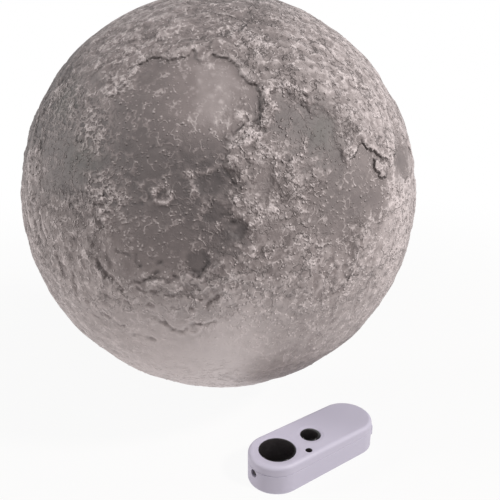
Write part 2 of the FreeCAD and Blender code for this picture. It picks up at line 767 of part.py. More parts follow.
# ---------------------------------------------------------------- boards behind the baffle
def make_boards():
    front = "-(main_board_standoff + board_wall)"
    board = box("main_board_blank", ("-main_board_width / 2", "main_board_width"), (front, "board_wall"),
                ("main_board_centre - main_board_height / 2", "main_board_height"))
    holes = [prism_out(spot_name("main_board_hole", x, z), x, "-main_board_standoff + 1", z, LOOSE_BORE,
                       "board_wall + 2") for x, z in BOARD_POST_SPOTS]
    node(cut("main_board", board, fuse("main_board_holes", holes)), "main_board")
    chips = []
    for name, x, z, wide, tall, thick in (("controller", "-14", "4", "10", "10", "1.6"),
                                          ("driver", "12", "6", "8", "5", "1.5"),
                                          ("capacitor", "20", "-12", "7", "7", "6.0"),
                                          ("plug", "plug_x", "-plug_drop", "12", "6", "plug_depth")):
        chips.append(box(name, ("%s - %s / 2" % (x, wide), wide), ("%s - %s" % (front, thick), thick),
                         ("main_board_centre + %s - %s / 2" % (z, tall), tall)))
    node(group("board_chips", chips), "board_chips")

    # flat cable: from the plug on the main board forward into the hollow column
    cable_x = "plug_x - cable_width / 2"
    level = "main_board_centre - plug_drop - cable_wall / 2"
    reach = "(%s + column_apothem - column_wall - cable_room)" % BAFFLE_FRONT
    forward = box("cable_forward", (cable_x, "cable_width"),
                  ("-" + reach, "%s - main_board_standoff - board_wall - plug_depth" % reach),
                  (level, "cable_wall"))
    down = box("cable_down", (cable_x, "cable_width"), ("-" + reach, "cable_wall"),
               (level + " - cable_drop", "cable_drop + cable_wall"))
    node(fuse("led_cable", [forward, down]), "led_cable")

    sensor_front = "-(%s + board_wall)" % BAFFLE_FRONT
    node(box("receiver_board", ("receiver_x - receiver_board_width / 2", "receiver_board_width"),
             (sensor_front, "board_wall"),
             ("receiver_centre - receiver_board_height / 2", "receiver_board_height")), "receiver_board")
    case = box("receiver_case", ("receiver_x - receiver_width / 2", "receiver_width"),
               (sensor_front + " - receiver_depth", "receiver_depth"),
               ("receiver_centre - receiver_height / 2", "receiver_height"))
    eye = prism("receiver_eye", "receiver_x", sensor_front + " - receiver_depth",
                "receiver_centre - receiver_height / 2 + 1", "receiver_width / 2 - 0.6",
                "receiver_height - 2", sides=12)
    node(fuse("ir_receiver", [case, eye]), "ir_receiver")


# ---------------------------------------------------------------- power switch
def make_switch():
    case = box("switch_case", ("-switch_width / 2", "switch_width"),
               ("-cover_wall - switch_depth", "switch_depth"),
               ("switch_centre - switch_height / 2", "switch_height"))
    well = box("switch_well_cut", ("-switch_window / 2", "switch_window"),
               ("-cover_wall - switch_well", "switch_well + 1"),
               ("switch_centre - knob_height / 2 - switch_gap", "knob_height + 2 * switch_gap"))
    node(cut("power_switch", case, well), "power_switch")
    knob = new_body("knob_body")
    plan = rectangle(sketch_on(knob, "XZ_Plane", "knob_plan", "knob_sunk"),
                     ("-knob_width / 2", "knob_width / 2"),
                     ("switch_centre - knob_height / 2", "switch_centre + knob_height / 2"))
    pad(knob, plan, "cover_wall + switch_well - knob_sunk - switch_gap")
    for k in (-1, 0, 1):
        groove = rectangle(sketch_on(knob, "XZ_Plane", "knob_groove_%d" % (k + 1)),
                           ("%d * knob_groove_pitch - knob_groove / 2" % k,
                            "%d * knob_groove_pitch + knob_groove / 2" % k),
                           ("switch_centre - knob_height", "switch_centre + knob_height"))
        pocket(knob, groove, "knob_sunk + knob_groove_depth", back=True)
    node(knob, "power_switch_knob")


# ---------------------------------------------------------------- screws
def screw(name, x, y, z, length, about, turn, kind=""):
    """A pan-head screw: the underside of its head at the point, its shank along the turned Z axis.
    Its kind is empty or small_."""
    shank = prism(name + "_shank", "0", "0", "0", kind + "screw_radius", length)
    head = prism(name + "_head", "0", "0", "-%shead_height" % kind, kind + "head_radius",
                 kind + "head_height")
    return at(fuse(name, [shank, head]), x, y, z, about, turn)


def make_screws():
    rim = [screw("dome_screw_%d" % turn, "boss_ring_radius * cos(%d deg)" % turn,
                 "-(rim_standoff - flange_wall)", "boss_ring_radius * sin(%d deg)" % turn,
                 "screw_length", X_AXIS, "90") for turn in CORNER_TURNS]
    node(group("dome_screws", rim), "dome_screws")
    inner = [screw(spot_name("baffle_screw", x, z), x, "-" + BAFFLE_FRONT, z, "screw_length", X_AXIS, "-90")
             for x, z in POST_SPOTS]
    node(group("baffle_screws", inner), "baffle_screws")
    low = [screw(spot_name("board_screw", x, z), x, "-(main_board_standoff + board_wall)", z,
                 "main_board_standoff - 1.5", X_AXIS, "-90") for x, z in BOARD_POST_SPOTS]
    node(group("board_screws", low), "board_screws")


# ---------------------------------------------------------------- remote: casing
SMALL_BORE = "(small_screw_radius + screw_fit)"
SMALL_LOOSE_BORE = "(small_screw_radius + screw_play)"
REMOTE_SCREWS = (("right", "-remote_screw_y"), ("left", "remote_screw_y"))
HALF_LENGTH = "remote_length / 2"
HALF_WIDTH = "remote_width / 2"
TOP_UNDERSIDE = "(remote_height - remote_wall)"


def make_top_cover():
    body = new_body("top_cover_body")
    low = "parting_height + parting_gap"
    pad(body, slot(sketch_on(body, "XY_Plane", "top_outline", low), HALF_LENGTH, HALF_WIDTH),
        "remote_height - parting_height - parting_gap")
    # two bevels, one on the other, stand for the rounded edge
    bevel_edges(body, "top_edge", "top_edge_bevel",
                lambda edge: edge.BoundBox.ZMin > size("remote_height") - 0.01)
    bevel_edges(body, "top_edge_softer", "top_edge_soft",
                lambda edge: (edge.BoundBox.ZMin > size("remote_height") - size("top_edge_bevel") - 0.01
                              and edge.BoundBox.ZLength < 0.01))
    hollow = slot(sketch_on(body, "XY_Plane", "top_hollow", low), HALF_LENGTH + " - remote_wall",
                  HALF_WIDTH + " - remote_wall")
    pocket(body, hollow, TOP_UNDERSIDE + " - parting_height - parting_gap", back=True)
    rebate = slot(sketch_on(body, "XY_Plane", "top_rebate", low), HALF_LENGTH + " - tongue_wall",
                  HALF_WIDTH + " - tongue_wall")
    pocket(body, rebate, "tongue_height", back=True)
    bosses = [prism("remote_top_boss_" + side, "remote_screw_x", y, "remote_board_top", "remote_boss_radius",
                    "remote_height - remote_board_top - remote_wall / 2") for side, y in REMOTE_SCREWS]
    tools = [prism("remote_top_bore_" + side, "remote_screw_x", y, "remote_board_top - 1", SMALL_BORE,
                   "1 + screw_bite + 0.3") for side, y in REMOTE_SCREWS]
    for name, x, y, radius in (("big", "big_button_x", "0", "big_button_radius"),
                               ("small", "small_button_x", "small_button_y", "small_button_radius")):
        tools.append(rod(name + "_button_hole", x, y, "parting_height", radius + " + button_clearance",
                         "remote_height"))
        dish = bind(doc.addObject("Part::Cone", name + "_button_dish"), Height="dish_depth",
                    Radius1=radius + " + button_clearance", Radius2=radius + " + dish_margin")
        tools.append(at(dish, x, y, "remote_height - dish_depth"))
    tools.append(rod("indicator_hole", "indicator_x", "indicator_y", "parting_height",
                     "indicator_radius + indicator_fit", "remote_height"))
    shell = fuse("top_cover_with_bosses", [body] + bosses)
    return node(on_shelf(cut("remote_top_cover", shell, fuse("top_cover_cuts", tools))), "remote_top_cover")


def make_bottom_shell():
    body = new_body("bottom_shell_body")
    pad(body, slot(sketch_on(body, "XY_Plane", "bottom_outline"), HALF_LENGTH, HALF_WIDTH), "parting_height")
    bevel_edges(body, "foot_edge", "foot_edge_bevel", lambda edge: edge.BoundBox.ZMax < 0.01)
    tongue = slot(sketch_on(body, "XY_Plane", "tongue", "remote_wall"),
                  HALF_LENGTH + " - tongue_wall - tongue_fit", HALF_WIDTH + " - tongue_wall - tongue_fit")
    pad(body, tongue, "parting_height + tongue_height - remote_wall")
    hollow = slot(sketch_on(body, "XY_Plane", "bottom_hollow", "parting_height + tongue_height"),
                  HALF_LENGTH + " - remote_wall", HALF_WIDTH + " - remote_wall")
    pocket(body, hollow, "parting_height + tongue_height - remote_wall")
    bosses = [prism("remote_screw_boss_" + side, "remote_screw_x", y, "remote_wall / 2", "remote_boss_radius",
                    "remote_board_top - board_wall - remote_wall / 2") for side, y in REMOTE_SCREWS]
    door_room = box("door_room", ("remote_door_start", "remote_length"),
                    ("-remote_door_width / 2 - door_clearance", "remote_door_width + 2 * door_clearance"),
                    ("-1", "parting_height + 2"))
    emitter_hole = rod("emitter_hole", "-remote_length / 2 - 1", "0", "emitter_height", "emitter_radius",
                       "remote_wall + 3", Y_AXIS, "90")
    tools = [door_room, emitter_hole]
    for side, y in REMOTE_SCREWS:
        tools.append(prism("remote_screw_bore_" + side, "remote_screw_x", y, "-1", SMALL_LOOSE_BORE,
                           "remote_board_top"))
        tools.append(prism("remote_screw_sink_" + side, "remote_screw_x", y, "-1", "small_head_radius + 0.1",
                           "1 + small_head_height + screw_sunk"))
    shell = fuse("bottom_shell_with_bosses", [body] + bosses)
    return node(on_shelf(cut("remote_bottom_shell", shell, fuse("bottom_shell_cuts", tools))),
                "remote_bottom_shell")


def make_remote_door():
    body = new_body("remote_door_body")
    pad(body, slot(sketch_on(body, "XY_Plane", "door_outline"), HALF_LENGTH, HALF_WIDTH), "parting_height")
    bevel_edges(body, "door_foot_edge", "foot_edge_bevel", lambda edge: edge.BoundBox.ZMax < 0.01)
    pocket(body, slot(sketch_on(body, "XY_Plane", "door_hollow", "parting_height"),
                      HALF_LENGTH + " - remote_wall", HALF_WIDTH + " - remote_wall"),
           "parting_height - remote_wall")
    keep = box("door_keep", ("remote_door_start + door_clearance", "remote_length"),
               ("-remote_door_width / 2", "remote_door_width"), ("-1", "parting_height + 2"))
    panel = common("remote_door_panel", [body, keep])
    lip = box("remote_door_lip_block", ("remote_length / 2 - remote_wall", "remote_wall + remote_door_lip"),
              ("-remote_door_width / 3", "remote_door_width * 2 / 3"),
              ("parting_height * 0.45", "parting_height * 0.55"))
    return node(on_shelf(fuse("remote_battery_door", [panel, lip])), "remote_battery_door")


# ---------------------------------------------------------------- remote: buttons
def make_button(name, x, y, radius, key_x):
    """A crowned button held under the top cover by its flange, with a bar under it that runs from
    its middle to over its key switch."""
    flange_low = TOP_UNDERSIDE + " - flange_gap - button_flange_wall"
    shoulder = "remote_height + button_rise - button_crown"
    cap = rod(name + "_cap", x, y, flange_low, radius, "%s - (%s)" % (shoulder, flange_low))
    crown = bind(doc.addObject("Part::Cone", name + "_crown"), Radius1=radius,
                 Radius2=radius + " * button_crown_flat", Height="button_crown")
    at(crown, x, y, shoulder)
    flange = prism(name + "_flange", x, y, flange_low, radius + " + button_flange", "button_flange_wall",
                   sides=24)
    stem_low = "remote_board_top + key_height + button_travel + flange_gap"
    stem = box(name + "_stem", (key_x + " - button_stem / 2", "button_stem + %s - %s" % (x, key_x)),
               (y + " - button_stem / 2", "button_stem"),
               (stem_low, "%s + button_flange_wall / 2 - (%s)" % (flange_low, stem_low)))
    return node(on_shelf(fuse(name, [cap, crown, flange, stem])), name)


def make_buttons():
    make_button("remote_big_button", "big_button_x", "0", "big_button_radius", "big_button_x")
    make_button("remote_small_button", "small_button_x", "small_button_y", "small_button_radius",
                "small_key_x")
    lens = prism("indicator_lens", "indicator_x", "indicator_y", "remote_board_top",
                 "indicator_radius", "remote_height - remote_board_top - indicator_sunk", sides=16)
    node(on_shelf(group("remote_indicator_on_shelf", [lens])), "remote_indicator")
    keys = []
    for k, (x, y) in enumerate((("big_button_x", "0"), ("small_key_x", "small_button_y"))):
        keys.append(box("key_%d" % (k + 1), (x + " - key_size / 2", "key_size"),
                        (y + " - key_size / 2", "key_size"), ("remote_board_top", "key_height")))
    node(on_shelf(group("remote_key_switches_on_shelf", keys)), "remote_key_switches")


# ---------------------------------------------------------------- remote: inside
def make_remote_inside():
    start = "(remote_length / 2 - remote_wall - remote_board_start)"
    plate = box("remote_board_blank", ("-" + start, start + " + remote_board_end"),
                ("-remote_board_width / 2", "remote_board_width"),
                ("remote_board_top - board_wall", "board_wall"))
    tools = [prism("remote_board_hole_" + side, "remote_screw_x", y, "0", SMALL_LOOSE_BORE, "remote_height")
             for side, y in REMOTE_SCREWS]
    for side, low in (("right", "-remote_width / 2"), ("left", "remote_width / 2 - remote_board_corner")):
        tools.append(box("remote_board_corner_" + side, ("-remote_length / 2", "remote_board_corner"),
                         (low, "remote_board_corner"), ("0", "remote_height")))
    board = cut("bare_remote_board", plate, fuse("remote_board_cuts", tools))
    node(on_shelf(group("remote_board_on_shelf", [board])), "remote_board")

    emitter_body = prism("emitter_barrel", "-remote_length / 2 + 0.8", "0", "emitter_height",
                         "emitter_radius - 0.1", "5.0", Y_AXIS, "90", sides=16)
    node(on_shelf(group("remote_ir_led_on_shelf", [emitter_body])), "remote_ir_led")

    level = "remote_wall + cell_clearance + aaa_radius"
    front_x = "aaa_centre - aaa_length / 2"
    springs = []
    plates = []
    for k, side in enumerate(("-", "")):
        way = 1 if k else -1
        name = "aaa_cell_%d" % (k + 1)
        body = cell("bare_" + name, "aaa_centre - %d * aaa_length / 2" % way, side + "aaa_pitch / 2", level,
                    "aaa_radius", "aaa_length", "aaa_pip_radius", "aaa_pip_length", Y_AXIS, str(90 * way))
        node(on_shelf(group(name + "_on_shelf", [body])), name)
        near_x = front_x + " - aaa_near_gap - contact_wall"
        far_x = "aaa_centre + aaa_length / 2 + aaa_far_gap"
        spring_x = near_x if way > 0 else far_x
        plate_x = far_x if way > 0 else near_x
        for spots, spot_x, label in ((springs, spring_x, "aaa_spring_"), (plates, plate_x, "aaa_plate_")):
            spots.append(box(label + str(k + 1), (spot_x, "contact_wall"),
                             (side + "aaa_pitch / 2 - aaa_contact_width / 2", "aaa_contact_width"),
                             ("remote_wall + cell_clearance", "aaa_contact_height")))
    node(on_shelf(group("remote_spring_contacts_on_shelf", springs)), "remote_spring_contacts")
    node(on_shelf(group("remote_plate_contacts_on_shelf", plates)), "remote_plate_contacts")
    screws = [screw("remote_screw_" + side, "remote_screw_x", y, "small_head_height + screw_sunk",
                    "remote_board_top + screw_bite - small_head_height - screw_sunk", Z_AXIS, "0", "small_")
              for side, y in REMOTE_SCREWS]
    node(on_shelf(group("remote_screws_on_shelf", screws)), "remote_screws")


# ---------------------------------------------------------------- build, test and write
def check_and_write():
    doc.recompute()
    for thing in doc.Objects:
        if "Invalid" in thing.State or "Error" in thing.State:
            raise RuntimeError("%s did not build: %s" % (thing.Name, thing.State))
    os.makedirs("parts", exist_ok=True)
    for thing in nodes:
        shape = thing.Shape
        if shape.isNull() or not shape.isValid() or not shape.Solids:
            raise RuntimeError("%s has no valid solid" % thing.Label)
        shape.exportStep("parts/%s.step" % thing.Label)
        print("%-24s %2d solids %9.1f mm3" % (thing.Label, len(shape.Solids), shape.Volume))


make_dome()
make_cover()
make_door()
make_aa_cells()
make_baffle()
make_strips()
make_boards()
make_switch()
make_screws()
make_top_cover()
make_bottom_shell()
make_remote_door()
make_buttons()
make_remote_inside()
check_and_write()
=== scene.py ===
# %% [markdown]
# # A moon lamp with its remote control
# The lamp is a half-ball of frosted plastic with the moon's relief moulded into it. It hangs on a
# wall, and its remote control lies in front of it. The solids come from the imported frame, and this
# lesson dresses them: the relief, the rounded casing, the screws and cells, and every finish.

# %% Start: load the frame and remember its box
import json
import math
import bmesh
import bpy
import numpy as np
from mathutils import Matrix, Vector, noise

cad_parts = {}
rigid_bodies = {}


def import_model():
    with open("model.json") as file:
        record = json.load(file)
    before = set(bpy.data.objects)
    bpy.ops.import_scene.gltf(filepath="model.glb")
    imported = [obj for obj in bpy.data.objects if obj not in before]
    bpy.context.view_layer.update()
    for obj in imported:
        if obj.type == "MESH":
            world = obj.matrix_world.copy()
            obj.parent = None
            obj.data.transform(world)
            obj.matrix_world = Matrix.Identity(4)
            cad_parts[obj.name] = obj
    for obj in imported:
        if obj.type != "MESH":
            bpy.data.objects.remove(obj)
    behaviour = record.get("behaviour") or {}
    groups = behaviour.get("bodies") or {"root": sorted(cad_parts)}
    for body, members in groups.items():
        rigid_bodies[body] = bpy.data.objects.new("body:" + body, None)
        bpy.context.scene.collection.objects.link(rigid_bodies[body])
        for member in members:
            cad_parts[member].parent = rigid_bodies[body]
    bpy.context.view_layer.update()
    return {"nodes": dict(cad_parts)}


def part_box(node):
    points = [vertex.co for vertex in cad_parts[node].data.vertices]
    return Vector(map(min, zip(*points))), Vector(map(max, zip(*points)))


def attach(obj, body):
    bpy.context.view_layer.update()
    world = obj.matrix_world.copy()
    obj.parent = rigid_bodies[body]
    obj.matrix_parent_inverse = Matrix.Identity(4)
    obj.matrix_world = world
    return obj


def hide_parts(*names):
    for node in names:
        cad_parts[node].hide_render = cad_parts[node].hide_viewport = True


for leftover in list(bpy.data.objects):
    bpy.data.objects.remove(leftover)
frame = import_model()
MM = 0.001
dome_low, dome_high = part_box("moon_dome")
DOME_RADIUS = round(dome_high.x / MM, 2)
DOME_CENTRE = Vector((0, round(dome_low.y / MM, 2) + DOME_RADIUS, 0)) * MM
print("the dome's radius is", DOME_RADIUS, "mm and its middle", DOME_CENTRE)

# %% [markdown]
# ## The camera
# The photograph looks at the lamp from a little above and a little to the left. The lens and the
# place were worked out from the outline of the dome and from the remote's buttons, so that both
# fall where the photograph has them.

# %% The camera
LENS_MM = 43.86
SENSOR_MM = 36.0
CAMERA_PLACE = Vector((-0.0336, -0.4079, 0.0964))
CAMERA_TILT = math.radians(71.335)
CAMERA_TURN = math.radians(-7.553)
PHOTO_WIDTH = 500

camera = bpy.data.objects.new("camera", bpy.data.cameras.new("camera"))
camera.data.lens = LENS_MM
camera.data.sensor_width = SENSOR_MM
camera.data.clip_start = 0.01
camera.location = CAMERA_PLACE
camera.rotation_euler = (CAMERA_TILT, 0.0, CAMERA_TURN)
bpy.context.scene.collection.objects.link(camera)
bpy.context.scene.camera = camera
bpy.context.view_layer.update()
camera_axes = np.array(camera.matrix_world.to_3x3())
PIXELS_PER_SLOPE = LENS_MM / SENSOR_MM * PHOTO_WIDTH
print("camera looks along", camera_axes @ np.array([0, 0, -1.0]))

# %% [markdown]
# ## Colours and nodes
# Colours are written as sRGB hex values, but a shader wants linear light, so one function
# turns them. Another adds one node to a material, with its settings and what goes into it. A value
# that is a pair is a link from another node's output.

# %% Two helpers for materials
def linear(hex_code):
    parts = [int(hex_code[k:k + 2], 16) / 255 for k in (1, 3, 5)]
    return [c / 12.92 if c <= 0.04045 else ((c + 0.055) / 1.055) ** 2.4 for c in parts] + [1.0]


def add(material, kind, inputs=None, **settings):
    node = material.node_tree.nodes.new("ShaderNode" + kind)
    for key, value in settings.items():
        setattr(node, key, value)
    for key, value in (inputs or {}).items():
        if isinstance(value, tuple) and isinstance(value[0], bpy.types.Node):
            material.node_tree.links.new(value[0].outputs[value[1]], node.inputs[key])
        else:
            node.inputs[key].default_value = value
    return node


def start_material(name):
    material = bpy.data.materials.new(name)
    material.use_nodes = True
    material.node_tree.nodes.clear()
    return material


print("white is", linear("#ffffff"))

# %% [markdown]
# ## Light, background and floor
# A white sweep behind the object is what a product studio uses. Here the world and the floor are
# white only for rays that come from the camera, from a gloss or through something clear, so the
# object itself gets a moderate light and its relief keeps its shadows. A small lamp at the upper
# right rakes over the relief, and a weak one at the left edges the dome. A third shines up from
# below, as bright paper would throw light back: it stands under the floor, which casts no shadow
# itself but still receives the shadow of the object.

# %% The world
world = bpy.data.worlds.new("studio")
bpy.context.scene.world = world
world.use_nodes = True
world.node_tree.nodes.clear()
WORLD_STRENGTH = 0.17


def ray_is_seen(tree_owner):
    """1 for a ray from the camera, from a gloss or through a clear thing."""
    path = add(tree_owner, "LightPath")
    seen = add(tree_owner, "Math", {0: (path, "Is Camera Ray"), 1: (path, "Is Glossy Ray")},
               operation="MAXIMUM")
    return add(tree_owner, "Math", {0: (seen, 0), 1: (path, "Is Transmission Ray")},
               operation="MAXIMUM")


dim = add(world, "Background", {"Color": linear("#fffaf8"), "Strength": WORLD_STRENGTH})
white = add(world, "Background", {"Color": linear("#ffffff"), "Strength": 1.0})
choice = add(world, "MixShader", {0: (ray_is_seen(world), 0), 1: (dim, 0), 2: (white, 0)})
add(world, "OutputWorld", {"Surface": (choice, 0)})
print("the object is lit by a world of", WORLD_STRENGTH)

# %% The lamps
LAMPS = {    # place and width in metres, watts, colour
    "key_upper_right": ((0.74, -0.62, 0.72), 0.16, 14.5, "#fffaf6"),
    "edge_left": ((-0.95, -0.06, 0.30), 0.18, 5.8, "#fffaf6"),
    "sweep_bounce": ((0.03, -0.16, -0.75), 0.25, 1.8, "#ffffff"),
}
for name, (place, width, watts, colour) in LAMPS.items():
    lamp = bpy.data.lights.new(name, "AREA")
    lamp.shape = "DISK"
    lamp.size = width
    lamp.energy = watts
    lamp.color = linear(colour)[:3]
    thing = bpy.data.objects.new(name, lamp)
    thing.location = place
    thing.rotation_euler = (DOME_CENTRE - Vector(place)).to_track_quat("-Z", "Y").to_euler()
    bpy.context.scene.collection.objects.link(thing)
print("lamps:", list(LAMPS))

# %% [markdown]
# ## The floor
# The remote lies on white paper that runs on behind the object without an edge. Near the object
# the paper keeps a little of its own shading, so that the shadow shows. Further off it is pure
# white.

# %% The floor
FLOOR_HALF = 6.0
FLOOR_GLOW = 0.93
SWEEP_START = 0.20
SWEEP_END = 0.75
floor_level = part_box("remote_bottom_shell")[0].z
bm = bmesh.new()
bmesh.ops.create_grid(bm, x_segments=1, y_segments=1, size=FLOOR_HALF)
bmesh.ops.translate(bm, verts=bm.verts, vec=(0, 0, floor_level))
floor_mesh = bpy.data.meshes.new("floor")
bm.to_mesh(floor_mesh)
bm.free()
floor = bpy.data.objects.new("floor", floor_mesh)
bpy.context.scene.collection.objects.link(floor)
floor.visible_shadow = False
# white uncoated paper: quite matte, and as bright as the sweep behind it
paper = start_material("white_studio_paper")
glow = add(paper, "Emission", {"Color": linear("#ffffff"), "Strength": 1.0})
matte = add(paper, "BsdfDiffuse", {"Color": linear("#c4bfbd")})
floor_coords = add(paper, "TexCoord")
away = add(paper, "VectorMath", {0: (floor_coords, "Object")}, operation="LENGTH")
glow_share = add(paper, "MapRange", {"Value": (away, "Value"), "From Min": SWEEP_START,
                                     "From Max": SWEEP_END, "To Min": FLOOR_GLOW, "To Max": 1.0},
                 interpolation_type="SMOOTHSTEP")
share = add(paper, "Math", {0: (ray_is_seen(paper), 0), 1: (glow_share, 0)}, operation="MULTIPLY")
mixed = add(paper, "MixShader", {0: (share, 0), 1: (matte, 0), 2: (glow, 0)})
add(paper, "OutputMaterial", {"Surface": (mixed, 0)})
floor.data.materials.append(paper)
print("floor at", floor_level)

# %% [markdown]
# ## The dome: a map to work on
# The relief is drawn on a flat map of the dome, in millimetres along its surface from the middle
# of its front. A place can be given in two ways: as a pixel of the photograph, which a ray from
# the camera carries on to the ball, or as a latitude and longitude on the real moon, because the
# mould follows the real map. Either way it ends as a point on the flat map.

# %% From photograph or moon to the flat map
MAP_SCALE = 0.868
MAP_EAST = math.radians(0.1)
MAP_TILT = math.radians(-5.7)
MM_PER_DEGREE = DOME_RADIUS * MAP_SCALE * math.pi / 180
centre = np.array(DOME_CENTRE) / MM
eye = np.array(CAMERA_PLACE) / MM


def flat(ways):
    """Unit directions from the dome's middle to flat map millimetres."""
    ways = np.atleast_2d(ways)
    spread = np.arccos(np.clip(-ways[:, 1], -1, 1))
    length = np.maximum(np.hypot(ways[:, 0], ways[:, 2]), 1e-9)
    return np.stack([ways[:, 0], ways[:, 2]], 1) * (DOME_RADIUS * spread / length)[:, None]


def seen(*pixels):
    """Where the rays through these pixels of the photograph meet the dome, on the flat map."""
    p = np.array(pixels, float).reshape(-1, 2)
    half = PHOTO_WIDTH / 2
    rays = np.stack([p[:, 0] - half, half - p[:, 1], np.full(len(p), -PIXELS_PER_SLOPE)], 1)
    rays = rays @ camera_axes.T
    rays /= np.linalg.norm(rays, axis=1)[:, None]
    gap = eye - centre
    along = -(rays @ gap)
    inside = np.maximum(along ** 2 - (gap @ gap - DOME_RADIUS ** 2), 0)
    hits = gap + rays * (along - np.sqrt(inside))[:, None]
    return flat(hits / np.linalg.norm(hits, axis=1)[:, None])


def moon(latitude, longitude):
    """A place on the real moon, on the flat map."""
    la, lo = math.radians(latitude), math.radians(longitude) - MAP_EAST
    x, y, z = math.cos(la) * math.sin(lo), math.cos(la) * math.cos(lo), math.sin(la)
    z, y = (z * math.cos(MAP_TILT) - y * math.sin(MAP_TILT),
            y * math.cos(MAP_TILT) + z * math.sin(MAP_TILT))
    turn = math.atan2(z, x)
    reach = DOME_RADIUS * MAP_SCALE * math.acos(y)
    return np.array([reach * math.cos(turn), reach * math.sin(turn)])


COPERNICUS_PIXEL = (161, 195)
print("Copernicus by pixel", seen(COPERNICUS_PIXEL), "and by map", moon(9.6, -20.1))

# %% [markdown]
# ## The dome: an even skin of small triangles
# A relief needs many small faces of one size. An icosphere has them, without the pinched poles of
# a UV sphere. It is cut in half where the rim is, and its points are drawn a little towards the
# front, where the relief is seen square on. The rim is then extruded inwards, ring by ring, to
# make the smooth inner wall.

# %% The dome's blank
DOME_WALL = 2.8
SKIN_LEVELS = 8
FRONT_PULL = 0.2
bm = bmesh.new()
bmesh.ops.create_icosphere(bm, subdivisions=SKIN_LEVELS, radius=1.0)
bmesh.ops.bisect_plane(bm, geom=bm.verts[:] + bm.edges[:] + bm.faces[:], dist=1e-6,
                       plane_co=(0, 0, 0), plane_no=(0, 1, 0), clear_outer=True)
# the cut leaves gaps in the bmesh's own list, so it is read again before points are counted
blank = bpy.data.meshes.new("blank")
bm.to_mesh(blank)
bm.free()
bm = bmesh.new()
bm.from_mesh(blank)
bpy.data.meshes.remove(blank)
skin_count = len(bm.verts)
ways = np.array([v.co for v in bm.verts])
ways /= np.linalg.norm(ways, axis=1)[:, None]
spread = np.arccos(np.clip(-ways[:, 1], -1, 1))
drawn = spread - FRONT_PULL * np.sin(2 * spread) / 2
side = ways[:, [0, 2]] / np.maximum(np.hypot(ways[:, 0], ways[:, 2]), 1e-9)[:, None]
ways = np.stack([side[:, 0] * np.sin(drawn), -np.cos(drawn), side[:, 1] * np.sin(drawn)], 1)
spot = flat(ways)
print("skin points:", skin_count)

# %% [markdown]
# ## The dome: seas, shores and highlands
# The seas are smooth floors, about a millimetre lower than the highlands, and a steep little cliff
# with a raised lip runs along their shores. Each sea is an outline of a few points. The distance to
# it, taken at points that a noise has pushed about, gives a ragged shore. The highlands get a
# terraced noise, because the mould was cut in thin steps, which leaves flakes and shelves.

# %% Noise on the dome
def rough(scale_mm, octaves, shift, points=None):
    """A fractal noise of about -1 to 1, its largest lumps scale_mm across."""
    at = (ways if points is None else points) * (DOME_RADIUS / scale_mm)
    step = Vector((shift, shift * 0.37, -shift * 0.71))
    return np.array([noise.fractal(Vector(p) + step, 0.9, 2.1, octaves) for p in at])


def ramp(x, low, high):
    t = np.clip((x - low) / (high - low), 0, 1)
    return t * t * (3 - 2 * t)


WARP_LUMP, WARP_REACH = 14, 3.0    # in mm: wide bends of a shore
JAG_LUMP, JAG_REACH = 4, 1.7    # in mm: its small teeth
warp = np.stack([rough(WARP_LUMP, 4, 3.0), rough(WARP_LUMP, 4, 9.0)], 1) * WARP_REACH
jag = np.stack([rough(JAG_LUMP, 3, 5.0), rough(JAG_LUMP, 3, 7.0)], 1) * JAG_REACH
shore_spot = spot + warp + jag
shore_lumps = rough(5, 4, 15.0)
print("warp reaches", np.abs(warp).max().round(2), "mm")

# %% Outlines and lines on the flat map
def far_from_line(points, corners, closed=False):
    """The distance from each point to a line through the corners."""
    ends = np.roll(corners, -1, 0) if closed else corners[1:]
    starts = corners if closed else corners[:-1]
    best = np.full(len(points), 1e9)
    for a, b in zip(starts, ends):
        run = b - a
        t = np.clip(((points - a) @ run) / (run @ run), 0, 1)
        best = np.minimum(best, np.linalg.norm(points - a - t[:, None] * run, axis=1))
    return best


def within(points, corners):
    """The distance to a closed outline, above nought inside it."""
    inside = np.zeros(len(points), bool)
    x, y = points[:, 0], points[:, 1]
    for (ax, ay), (bx, by) in zip(corners, np.roll(corners, -1, 0)):
        crosses = (ay > y) != (by > y)
        slope = (bx - ax) / (by - ay) if by != ay else 0.0
        inside ^= crosses & (x < ax + (y - ay) * slope)
    return far_from_line(points, corners, closed=True) * np.where(inside, 1, -1)


def gap_to(pixel, points=spot):
    """How far points of the flat map are from a pixel of the photograph, in mm."""
    return np.linalg.norm(points - seen(pixel)[0], axis=1)


print("nearest skin point to Copernicus:", gap_to(COPERNICUS_PIXEL).min().round(2), "mm")

